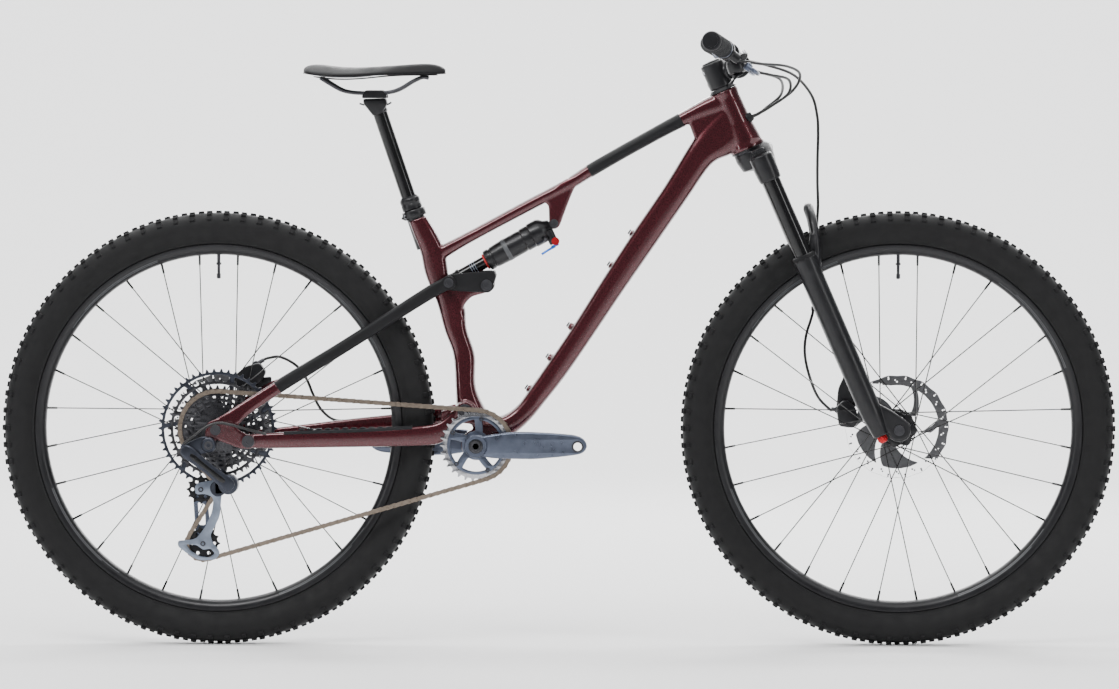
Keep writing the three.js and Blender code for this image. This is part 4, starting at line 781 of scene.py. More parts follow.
# ---------------------------------------------------------------- seat
def seat_post():
    seal = POST_SEAL
    clamp_top = seal + POST_DOWN * 22
    pinch = (-262, 739)
    ring = spun(clamp_top, POST_DOWN, [(16, 0), (19.6, 0), (20.2, 0.8), (20.2, 12.2), (19.6, 13),
        (16, 13)], 56, closed=True)
    ear = merge(barrel(at(pinch, -12), at(pinch, 12), 6.2, edge=1.2),
        plate([(-271, 735), (-264, 747), (-250, 742), (-252, 731)], 3, -9, 9, (), 1.5))
    make("seat_collar", merge(ring, ear), SATIN, "frame", ("seat_clamp",))
    make("seat_collar_bolt", bolt(at(pinch, -12), -ACROSS, 4.4, 2), STEEL, "frame")
    collar = [(12.9, 0), (15.6, 0), (16.6, 1.2), (17.4, 3), (17.4, 8), (16.8, 8.8), (16.8, 10),
        (17.4, 10.8), (17.4, 20), (15.5, 21.5), (15.5, 90), (12.9, 90)]
    make("dropper_sleeve", spun(seal, POST_DOWN, collar, 56, closed=True), SATIN, "frame",
        ("dropper_post_outer",))
    seal_lip = [(12.55, -2.4), (13.6, -2.4), (15.4, 0.4), (12.6, 0.4)]
    make("dropper_wiper", spun(seal, POST_DOWN, seal_lip, 48, closed=True), GRIP, "frame")
    foot = seal + POST_DOWN * 45
    make("dropper_stanchion", barrel(foot, POST_TOP + POST_DOWN * 4, 12.5, segments=56), GLOSS,
        "dropper_upper", ("dropper_post_inner",))
    head_outline = arc_outline([(-335, 934), (-336, 943), (-296, 944), (-294, 934), (-303, 918),
        (-318, 913)], 4, 4)
    head = merge(flat(head_outline, -15, 15, (), 3), barrel(POST_TOP + POST_DOWN * 13,
        POST_TOP - POST_DOWN * 2, 14.5, 13, 2))
    make("post_head", head, SATIN, "dropper_upper")
    jaw = plate([(-337, 944), (-337, 949), (-331, 958), (-301, 958), (-294, 949), (-294, 944)], (3, 4),
        15, 28, (), 2)
    bridge = plate([(-331, 944), (-331, 953), (-300, 953), (-300, 944)], (3, 4), -16, 16, (), 2)
    make("rail_clamp", merge(both(jaw), bridge), SATIN, "dropper_upper")
    bolts = [bolt(at((x, z), 0), vec(dx, 0, dz), 4.6, 3) for x, z, dx, dz in ((-338, 935, -0.3, -1),
        (-292, 936, 0.5, -0.87))]
    make("rail_clamp_bolts", merge(*bolts), DARK_STEEL, "dropper_upper")


def saddle_ring(x, top, edge_z, bottom, half, crown, channel):
    """One section across the saddle, as half widths that wrap from the middle of the top down."""
    outline = [(0, top - channel), (0.14, top - channel * 0.6), (0.26, top), (0.5, top - crown * 0.12),
        (0.74, top - crown * 0.42), (0.92, edge_z + (top - edge_z) * 0.22), (1.0, edge_z),
        (0.985, edge_z - 4), (0.93, bottom + 1.5), (0.84, bottom), (0.5, bottom + 3), (0, bottom + 4)]
    right = [vec(x, half * share, z) for share, z in outline]
    left = [vec(x, -p.y, p.z) for p in right[-2:0:-1]]
    return right + left


def saddle():
    stations = [(-438, 995, 990, 986.5, 26, 3, 0.3), (-434, 998.5, 990, 985, 44, 6, 0.6),
        (-424, 1002, 988, 983.6, 58, 12, 1.5), (-405, 1002.5, 986, 980.5, 66.5, 15, 2.5),
        (-382, 999.5, 984.5, 978.5, 68.5, 14, 3), (-358, 998, 984.5, 978.5, 64, 13, 3),
        (-334, 998.2, 985.5, 980, 54, 12, 3), (-308, 999.4, 987, 983, 41, 11, 2.6),
        (-280, 1001, 988, 985.2, 30, 9, 2), (-250, 1003, 989, 986, 23.5, 8, 1.2),
        (-222, 1003.6, 989, 986, 19.5, 8, 0.6), (-205, 1000.5, 989, 986, 16, 7, 0.3),
        (-196, 995.5, 989.5, 987, 10.5, 4, 0.1), (-194, 993, 990, 988, 5, 2, 0)]
    rings = [saddle_ring(*s) for s in smooth_path(stations, 3)]
    cover = make("saddle_cover", skin(rings), LEATHER, "dropper_upper", ("saddle",), smooth=1)
    seam = [(x, half * 1.004, edge_z - 3.2, 0.7) for x, _, edge_z, _, half, _, _ in smooth_path(stations,
        3)]
    make("saddle_seam", both(tube(seam, 1, 6, sideways=UP)), PLASTIC, "dropper_upper",
        slot="saddle_cover")
    base = [(x, (half * 0.9), bottom - 0.4) for x, _, _, bottom, half, _, _ in stations[2:-2]]
    under = skin([[vec(x, -h, z), vec(x, h, z), vec(x, h * 0.86, z - 3), vec(x, -h * 0.86, z - 3)]
        for x, h, z in base])
    make("saddle_shell", under, PLASTIC, "dropper_upper", smooth=1)
    rail = tube([(-224, 5, 979, 3.5), (-234, 9, 980, 3.5), (-250, 15, 973, 3.5), (-272, 21, 960, 3.5),
        (-292, 22, 954, 3.5), (-320, 22, 953, 3.5), (-350, 22, 953.5, 3.5), (-372, 24, 958, 3.5),
        (-392, 30, 969, 3.5), (-408, 35, 979, 3.5)], 5, 12, sideways=ACROSS)
    make("saddle_rail_pair", both(rail), DARK_STEEL, "dropper_upper", ("saddle_rails",))


# ---------------------------------------------------------------- rear triangle
def chainstays():
    right = profile_tube([(-176, 412, -172, 383, -39.8, 12), (-190, 396, -188, 360, -39.8, 12.2),
        (-208, 385, -207, 349, -40, 12.4), (-240, 380, -240, 346, -42, 12.6),
        (-300, 376, -300, 345, -50, 14), (-400, 373, -400, 344, -60, 14), (-490, 370, -490, 343, -67, 12),
        (-534, 367, -534, 343.5, -68.7, 10)])
    left = mirrored(profile_tube([(-178, 414, -174, 386, -39.8, 12), (-235, 402, -235, 374, -41.5, 12.4),
        (-300, 394, -300, 367, -50, 14), (-362, 387, -362, 360, -57, 14), (-490, 371, -490, 345, -67, 12),
        (-534, 367, -534, 343.5, -68.7, 10)]))
    eye = sideways(MAIN_PIVOT, [(8.4, 33.4), (15.4, 33.4), (16.2, 34.2), (16.2, 45.4), (15.4, 46.2),
        (8.4, 46.2)], 48, closed=True)
    horst = sideways(HORST_PIVOT, [(0, 63.2), (11.4, 63.2), (12, 63.8), (12, 73.2), (11.4, 73.7),
        (0, 73.7)], 40)
    yoke = plate([(-201, 388), (-201, 405), (-186, 412), (-180, 400), (-184, 385)], 4, -40, 40, (), 3)
    skin_shape = fused(merge(right, left, both(eye), both(horst), yoke), 1.25, 4)
    make("chainstay_pair", skin_shape, PAINT, "chainstay", ("chainstay",), sharp=60)
    pivots = merge(pair_of_bolts(HORST_PIVOT, 82.6, 10.8, 3.2),
        both(barrel(HORST_PIVOT + ACROSS * 73, HORST_PIVOT + ACROSS * 83, 5)))
    make("horst_bolts", pivots, DARK_STEEL, "chainstay")
    guard = profile_tube([(-250, 380.8, -250, 374, -43, 13), (-330, 376.4, -330, 370, -53.2, 14.8),
        (-400, 374.4, -400, 368, -60, 14.8), (-470, 372, -470, 366, -65.6, 13.6)], 6, 20)
    ribs = [flat(circle(x, 378.6 - (x + 250) * -0.018, 5.5, 16, 1.6), y - 3.8, y + 3.8, (), 0.5)
        for x, y in ((x, -43 + (x + 250) * 0.108) for x in range(-440, -255, 15))]
    make("chainstay_guard", merge(guard, *ribs), GRIP, "chainstay")


def seatstays():
    stay = profile_tube([(-590, 392, -556, 372, -78.2, 7.4), (-571, 403, -546, 385, -77.6, 8),
        (-545, 420, -526, 404, -71.5, 11.5), (-478, 462, -467, 443, -62, 14),
        (-390, 515, -381, 496, -54, 14), (-300, 572, -290, 553, -44, 14),
        (-225, 620, -214, 600, -36.2, 11), (-193, 637, -184, 616, -35.4, 9.6)])
    dropout = plate([(-603, 372), (-597, 362), (-562, 350), (-545, 343), (-524, 343), (-518, 353),
        (-521, 365), (-536, 369), (-551, 379), (-556, 396), (-590, 393), (-602, 386)], (5, 4), -82, -74.4,
        (), 1.6)
    ring = sideways(HORST_PIVOT, [(0, -82.4), (11.6, -82.4), (12.4, -81.6), (12.4, -75), (11.6, -74.3),
        (0, -74.3)], 40)
    tip = sideways(SEATSTAY_PIVOT, [(0, -40.2), (11.6, -40.2), (12.4, -39.4), (12.4, -31.4),
        (11.6, -30.6), (0, -30.6)], 40)
    hanger = plate([(-604, 378), (-588, 378), (-586, 344), (-605, 341)], 5, -82, -74.4, (), 1.2)
    lean = [(376.5, 0.56), (382.5, 0.56), (382.5, 0.6), (376.5, 0.6)]
    bridge = flat([(REAR.x + x, REAR.z + z) for x, z in (polar(r, a) for r, a in lean)], -42, 42, (), 1)
    mount = plate([(-556, 418), (-512, 446), (-500, 452), (-470, 462), (-500, 436), (-540, 406)], 5, 62,
        70, (), 1.5)
    shape = fused(merge(both(merge(stay, dropout, ring, tip)), hanger, bridge, mount), 1.25, 4)
    stays = make("seatstay_pair", shape, (PAINT, MATTE), "seatstay", ("seatstay",), sharp=60)
    border = vec(-480.5, 0, 447)
    along = vec(0.81, 0, 0.585)
    two_tone(stays, [(border + ACROSS * y, along) for y in (-62, 62)],
        lambda p: (p - border).dot(along) > 0)
    make("seatstay_bolts", pair_of_bolts(SEATSTAY_PIVOT, 40, 8.4, 2.4), DARK_STEEL, "seatstay")
    axle = merge(sideways(REAR, [(0, -85), (5.2, -85), (6, -84), (6, 88), (0, 88)], 32),
        sideways(REAR, [(0, 82.6), (10.6, 82.6), (11, 83), (10, 88.4), (9, 89.6), (0, 89.6)], 40),
        bolt(REAR - ACROSS * 82.6, -ACROSS, 9.2, 3, 3.5))
    make("rear_axle_bolt", axle, DARK_STEEL, "seatstay", ("rear_axle",))


def caliper(name, outline, y0, y1, slot_y, bolts, pistons, banjo, body, node, foot):
    """A two-piece brake caliper with its foot, bolts, piston cap and hose fitting."""
    shell = merge(plate(outline, (6, 4), y0, slot_y - 2.2, (), 2.4), plate(outline, (6, 4), slot_y + 2.2,
        y1, (), 2.4), plate(foot[0], (4, 4), foot[1], foot[2], (), 1.6))
    middle = Vector(outline[0]).lerp(Vector(outline[len(outline) // 2]), 0.5)
    far = max(outline, key=lambda p: (Vector(p) - Vector(foot[3])).length)
    bridge_outline = circle((middle.x + far[0]) / 2, (middle.y + far[1]) / 2, 8, 16)
    make(f"{name}_shell", merge(shell, flat(bridge_outline, y0 + 1, y1 - 1, (), 1.5)), SATIN, body,
        (node,))
    cap = merge(barrel(at(pistons, y1 - 1), at(pistons, y1 + 1.6), 10.5, 9.5, 0.8),
        bolt(at(pistons, y1 + 1.2), ACROSS, 5, 1.6))
    make(f"{name}_cap", cap, ANODISED, body)
    heads = [bolt(at(place, y), vec(0, side, 0), 4.3, 4, 2.4) for place, y, side in bolts]
    make(f"{name}_bolts", merge(*heads), STEEL, body)
    a, b, radius = banjo
    fitting = merge(barrel(a, b, radius, edge=0.8), barrel(a - ACROSS * 5, a + ACROSS * 5, 6, edge=1))
    make(f"{name}_banjo", fitting, DARK_STEEL, body)


def brakes():
    caliper("rear_caliper", [(-560, 440), (-520, 448), (-508, 468), (-520, 485), (-545, 478),
        (-564, 462)], 46, 68, 57, [((-552, 436), 68, 1), ((-506, 455), 68, 1)], (-535, 462),
        (vec(-527, 66, 481), vec(-514, 70, 488.5), 3.6), "seatstay", "rear_brake_caliper",
        ([(-562, 442), (-560, 428), (-545, 430), (-500, 450), (-500, 460), (-520, 458)], 62, 68,
        (-530, 430)))
    caliper("front_caliper", [(486, 376), (512, 373), (521, 386), (514, 411), (496, 423), (481, 409)], 30,
        54, 40, [((490, 380), 54, 1), ((500, 416), 54, 1)], (503, 394),
        (vec(484, 50, 404), vec(473, 50.6, 405), 3.6), "fork_lowers", "front_brake_caliper",
        ([(492, 386), (512, 380), (508, 398), (492, 399)], 46, 55.6, (520, 370)))


# ---------------------------------------------------------------- rocker and shock
def rocker():
    outline = [(-200, 626), (-196, 635), (-186, 641), (-150, 644.5), (-113, 647), (-106, 640),
        (-110, 626), (-113, 616), (-122, 610), (-150, 611), (-183, 613), (-195, 617)]
    half = plate(outline, (6, 4), -30, -22.6, (), 1.6, 2)
    bosses = [sideways(c, [(0, -30.4), (r - 0.8, -30.4), (r, -29.6), (r, -23), (0, -22.6)], 40)
        for c, r in ((ROCKER_PIVOT, 12.5), (SEATSTAY_PIVOT, 11.4))]
    bridge = plate([(-118, 637), (-118, 646), (-109, 646.5), (-106, 637)], 2, -27, 27, (), 1)
    make("rocker_plates", merge(both(merge(half, *bosses)), bridge), MATTE, "rocker", ("rocker_link",))


SHOCK_AXIS = (SHOCK_UPPER - SHOCK_LOWER).normalized()


def shock():
    can = [(11.2, 60), (15.5, 60), (17.4, 61), (18.2, 63), (18.2, 70), (17.4, 71), (17.4, 73), (18.6, 74),
        (19.6, 90), (19.8, 128), (19.2, 131), (19.2, 133), (20.6, 134.5), (20.6, 148), (19.6, 149.5),
        (11.2, 149.5)]
    make("shock_can", spun(SHOCK_LOWER, SHOCK_AXIS, can, 64, closed=True), SATIN, "shock_body",
        ("shock_body",))
    stripe = lathe([(19.9, 96), (20.15, 96.4), (20.15, 103.6), (19.9, 104)], 64, closed=True)
    make("shock_stripe", aimed(stripe, SHOCK_LOWER, SHOCK_AXIS), STRIPE, "shock_body")
    head = merge(spun(SHOCK_LOWER, SHOCK_AXIS, [(0, 148), (20, 148), (22, 150), (22, 166), (20, 172),
        (14, 178), (10.5, 186), (0, 186)], 56),
        sideways(SHOCK_UPPER, [(0, -12), (8.8, -12), (9.6, -11), (9.6, 11), (8.8, 12), (0, 12)], 40),
        barrel(vec(-17, -7, 716), vec(-6, -7, 693.4), 8.4, 8, 1.2))
    make("shock_head", head, SATIN, "shock_body")
    air = vec(-22, -14, 703)
    cap = spun(air, vec(0.1, -0.9, -0.35), [(0, 0), (4.6, 0), (4.6, 2), (4.2, 3), (4.2, 9), (3.2, 10.5),
        (0, 10.5)], 24)
    make("shock_air_cap", cap, DARK_STEEL, "shock_body")
    dial = vec(-4, -7, 698)
    make("shock_dial", spun(dial - ACROSS * 9, -ACROSS, [(0, 0), (6.4, 0), (6.8, 1), (6.8, 3.4),
        (0, 3.4)], 30), RED, "shock_body")
    shaft = [(0, 6), (10.9, 6), (10.9, 92), (0, 92)]
    make("shock_shaft_tube", spun(SHOCK_LOWER, SHOCK_AXIS, shaft, 56), GLOSS, "shock_shaft",
        ("shock_shaft",))
    marks = [lathe([(10.9, h), (11.05, h + 0.2), (11.05, h + 0.8), (10.9, h + 1)], 48, closed=True)
        for h in (30, 34, 38)]
    make("shock_sag_marks", aimed(merge(*marks), SHOCK_LOWER, SHOCK_AXIS), PLATE, "shock_shaft")
    eye = merge(sideways(SHOCK_LOWER, [(0, -12), (10.4, -12), (11.2, -11), (11.2, 11), (10.4, 12),
        (0, 12)], 40), spun(SHOCK_LOWER, SHOCK_AXIS, [(0, 2), (11, 2), (12.6, 4), (12.6, 8.6),
        (11.8, 9.4), (0, 9.4)], 48), sideways(SHOCK_LOWER, [(0, -22), (7, -22), (7, 22), (0, 22)], 28))
    make("shock_lower_eye", eye, SATIN, "shock_shaft")
    ring = [(12.7 + 1.8 * math.cos(a), 58.1 + 1.8 * math.sin(a)) for a in around(10)]
    make("shock_o_ring", spun(SHOCK_LOWER, SHOCK_AXIS, ring, 48, closed=True), RED_RUBBER, "shock_body")
    hub = barrel(vec(-5.8, -7, 692.3), vec(-4, -7, 688.4), 7.4, 7, 0.8)
    arm = tube([(-5, -7, 689, 3.6), (-14, -8, 684, 3.0), (-22, -9, 679, 2.9), (-28, -9.6, 675, 3.2)], 4,
        12, squash=0.7)
    make("shock_lockout", merge(hub, arm), BLUE, "shock_lever", ("shock_lever",))


# ---------------------------------------------------------------- cranks
def crank_arm(side):
    """An arm about its own spindle, pointing along +X. It leans outwards towards the pedal."""
    boss = [polar(20, a) for a in (math.radians(d) for d in range(60, 301, 15))]
    outline = [(26, -20.5), (54, -21.5), (99, -22), (140, -18.5), (172, -14.5), (185, -11), (192.4, 0),
        (186, 14), (171, 20), (130, 23.5), (87, 25), (53, 24), (30, 20.5)]
    arm = plate(boss + outline, (8, 2), -7.6, 7.6, [circle(175, 0, 7.2, 28)], 4.2, 3)
    leaning = [vec(p.x, p.y * (1 - 0.0012 * max(0, p.x)) - 70.4 - 0.053 * max(0, p.x), p.z)
        for p in arm[0]]
    shape = leaning, arm[1]
    insert = spun(vec(175, -85.4, 0), -ACROSS, [(7.1, 0), (9.6, 0), (9.8, 0.4), (9.8, 1.2), (7.1, 1.4)],
        36, closed=True)
    boss_shell = lathe([(12.6, -60), (19.4, -60), (20.2, -61), (20.2, -79), (18.4, -81.6), (12.6, -81.6)],
        56, closed=True)
    cap = merge(lathe([(0, -80.4), (11.6, -80.4), (12.6, -80), (12.6, -62), (0, -62)], 48),
        bolt(vec(0, -80.4, 0), -ACROSS, 9, 1.4, 5.6))
    parts = [merge(shape, boss_shell), insert, cap]
    return [mirrored(p) for p in parts] if side > 0 else parts


def cranks():
    for side, name in ((-1, "right"), (1, "left")):
        turn = Matrix.Rotation(math.pi if side > 0 else 0, 4, "Y")
        arm, insert, cap = (shifted(moved(p, turn), CRANK) for p in crank_arm(side))
        make(f"crank_{name}", arm, ANODISED, "crank", (f"crank_arm_{name}",))
        make(f"crank_{name}_insert", insert, DARK_STEEL, "crank")
        make(f"crank_{name}_cap", cap, DARK_STEEL, "crank")
    spindle = sideways(CRANK, [(0, -62), (12, -62), (12, 60), (0, 60)], 40)
    make("crank_spindle", spindle, STEEL, "crank")
    outline = gear(CHAINRING_TEETH)
    pitch = teeth_radius(CHAINRING_TEETH)
    ring = flat(outline, CHAINLINE - 1.3, CHAINLINE + 1.3, [circle(0, 0, pitch - 13, 60)], 0.4)
    make("chainring_teeth", shifted(ring, CRANK), STEEL, "crank", ("chainring",))
    windows = [spiral_window(25, 45, a + 0.75, lambda r: 1.2566 - 13 / r, 0.12, 5) for a in around(5)]
    spider = flat(circle(0, 0, pitch - 10.5, 90), CHAINLINE - 4.4, CHAINLINE - 1.4,
        [*windows, circle(0, 0, 14, 40)], 0.8)
    hub = lathe([(12.6, -59.6), (19, -59.6), (21, -56), (21, -52), (12.6, -52)], 48, closed=True)
    heads = [bolt(radial(46.5, CHAINLINE - 4.2, a + 0.12), -ACROSS, 4, 1.4) for a in around(5)]
    make("chainring_spider", shifted(merge(spider, hub), CRANK), ANODISED, "crank")
    make("chainring_bolts", shifted(merge(*heads), CRANK), DARK_STEEL, "crank")


def cassette():
    for place, teeth in enumerate(CASSETTE_TEETH):
        y = FIRST_COG_Y + place * COG_PITCH
        pitch = teeth_radius(teeth)
        holes = [circle(0, 0, 17.4, 36)]
        if teeth >= 24:
            count = 5 if teeth < 36 else 7
            holes += [spiral_window(23, pitch - 8, a + place * 0.3, lambda r, n=count: 2 * math.pi / n
                - 8.5 / r, 0.25, 3) for a in around(count)]
        cog = flat(gear(teeth), y - 0.8, y + 0.8, holes, 0.3)
        steel = COG_STEEL if place < len(CASSETTE_TEETH) - 1 else DARK_ANODISED
        make(f"cog_{teeth}", shifted(cog, REAR), steel, "cassette", ("cassette",) if place == 0 else (),
            slot="dark_steel")
    core = lathe([(10.8, -72), (15.6, -72), (16.4, -71), (16.4, -68), (17.3, -67.6), (17.3, -27),
        (10.8, -27)], 48, closed=True)
    make("cassette_core", shifted(core, REAR), DARK_STEEL, "cassette")


# ---------------------------------------------------------------- chain
def belt(a, b):
    """Tangent points from wheel a to wheel b. A wheel is (centre, radius, turn, y)."""
    gap = b[0] - a[0]
    lean = math.asin((b[2] * b[1] - a[2] * a[1]) / gap.length)
    heading = math.atan2(gap.z, gap.x) + lean
    normal = vec(-math.sin(heading), 0, math.cos(heading))
    return [w[0] + normal * w[2] * w[1] + ACROSS * w[3] for w in (a, b)]


def chain_route():
    """Points about 2 mm apart all the way round, each with the stretch that it belongs to."""
    wheels_round = [(REAR, teeth_radius(CASSETTE_TEETH[ENGAGED_COG]), 1, PULLEY_Y),
        (CRANK, teeth_radius(CHAINRING_TEETH), 1, CHAINLINE),
        (TENSION_PULLEY, teeth_radius(TENSION_TEETH), 1, PULLEY_Y),
        (GUIDE_PULLEY, teeth_radius(GUIDE_TEETH), -1, PULLEY_Y)]
    names = ["cog", "upper", "ring", "lower", "tension", "rise", "guide", "feed"]
    spans = [belt(w, wheels_round[(i + 1) % 4]) for i, w in enumerate(wheels_round)]
    route = []
    for i, (centre, radius, turn, y) in enumerate(wheels_round):
        arrive, leave = spans[i - 1][1] - centre, spans[i][0] - centre
        start = math.atan2(arrive.z, arrive.x)
        sweep = (math.atan2(leave.z, leave.x) - start) * -turn % (2 * math.pi)
        count = max(2, round(sweep * radius / 2))
        for step in range(count):
            angle = start - turn * sweep * step / count
            route.append((centre + radial(radius, y, angle), names[2 * i]))
        a, b = spans[i]
        count = round((b - a).length / 2)
        route += [(a.lerp(b, step / count), names[2 * i + 1]) for step in range(count)]
    return route


def chain_pins():
    """The pins, one pitch apart round the route, as (point, stretch)."""
    route = chain_route()
    closed = [*route, route[0]]
    lengths = [(closed[i + 1][0] - closed[i][0]).length for i in range(len(route))]
    total = sum(lengths)
    count = 2 * round(total / CHAIN_PITCH / 2)
    pins, walked, i = [], 0.0, 0
    for k in range(count):
        goal = total * k / count
        while walked + lengths[i] < goal:
            walked += lengths[i]
            i += 1
        share = (goal - walked) / lengths[i]
        pins.append((closed[i][0].lerp(closed[i + 1][0], share), closed[i][1]))
    return pins


def link_plate(a, b, y, thick=0.95):
    """A waisted side plate from pin a to pin b."""
    along = (b - a).normalized()
    normal = ACROSS.cross(along).normalized()
    outline = []
    for angle in around(20):
        c, s = polar(1, angle)
        centre = b if c > 0 else a
        waist = 0.72 if abs(c) < 0.2 else 1.0
        outline.append(centre + along * 4.3 * c + normal * 4.3 * s * waist)
    out = along.cross(normal).normalized()
    return skin([[p + out * (y + d) for p in outline] for d in (-thick / 2, thick / 2)])


def chain():
    pins = chain_pins()
    stretches = {}
    for k, (a, stretch) in enumerate(pins):
        b = pins[(k + 1) % len(pins)][0]
        reach = 3.1 if k % 2 else 2.05
        link = merge(link_plate(a, b, reach), link_plate(a, b, -reach))
        roller = barrel(a - ACROSS * 2.0, a + ACROSS * 2.0, 3.85, edge=0.3, segments=14)
        pin = barrel(a - ACROSS * 3.9, a + ACROSS * 3.9, 1.8, edge=0.3, segments=12)
        if stretch == "upper":
            stretch = "upper_front" if a.x > -440 else "upper_rear"
        if stretch == "lower":
            stretch = next(n for n, x in (("lower_front", -295), ("lower_middle", -405),
                ("lower_rear", -440), ("lower_end", -1000)) if a.x > x)
        stretches.setdefault(stretch, []).append(merge(link, roller, pin))
    rides = {"cog": "seatstay", "ring": "frame", "tension": "derailleur_cage", "rise": "derailleur_cage",
        "guide": "derailleur_cage"}
    for stretch, links in stretches.items():
        body = rides.get(stretch)
        piece = make(f"chain_{stretch}", merge(*links), CHAIN_STEEL, body, ("chain",)
            if stretch == "ring" else ())
        if stretch == "feed":
            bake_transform(piece)
        elif not body:
            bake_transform(piece)


# ---------------------------------------------------------------- derailleur
LINK_TOP = vec(-633, -93, 338)
LINK_BOTTOM = vec(-564, -95, 283)


def shaped_bar(a, b, width, depth, out, offset, power=3.2):
    """A link from a to b: rounded, wider at its ends, `depth` thick along out."""
    along = (b - a).normalized()
    across = along.cross(out).normalized()
    length = (b - a).length
    rings = []
    for share, w, d in ((-0.13, 0.45, 0.6), (-0.1, 0.8, 0.9), (0.02, 1.0, 1.0), (0.25, 0.86, 1.0),
            (0.55, 0.8, 1.0), (0.85, 0.95, 1.0), (0.98, 1.0, 1.0), (1.08, 0.8, 0.9), (1.12, 0.45, 0.6)):
        centre = a + along * (share * length) + out * (offset + depth / 2)
        rings.append([centre + across * (width / 2 * w) * c + out * (depth / 2 * d) * s
            for c, s in (rounded_box(a, power) for a in around(28))])
    return skin(rings)


def cage_plate(outline, holes, y0, y1):
    return plate(outline, (9, 4), y0, y1, holes, 0.5)


def pulley(centre, teeth):
    pitch = teeth_radius(teeth)
    outline = []
    for k in range(teeth):
        for h, s in ((-3.6, -0.34), (-2.6, -0.25), (0.6, -0.08), (1, 0), (0.6, 0.08), (-2.6, 0.25)):
            outline.append(polar(pitch + h, TURN * (k + s) / teeth))
    holes = [circle(*polar(pitch - 9.6, a), 2.9, 12) for a in around(6)]
    wheel_plate = flat(outline, PULLEY_Y - 1.1, PULLEY_Y + 1.1, [*holes, circle(0, 0, 6, 24)], 0.35)
    bearing = lathe([(3.7, PULLEY_Y - 3.4), (8, PULLEY_Y - 3.4), (8.6, PULLEY_Y - 2.8),
        (8.6, PULLEY_Y + 2.8), (8, PULLEY_Y + 3.4), (3.7, PULLEY_Y + 3.4)], 32, closed=True)
    return shifted(wheel_plate, centre), shifted(bearing, centre)


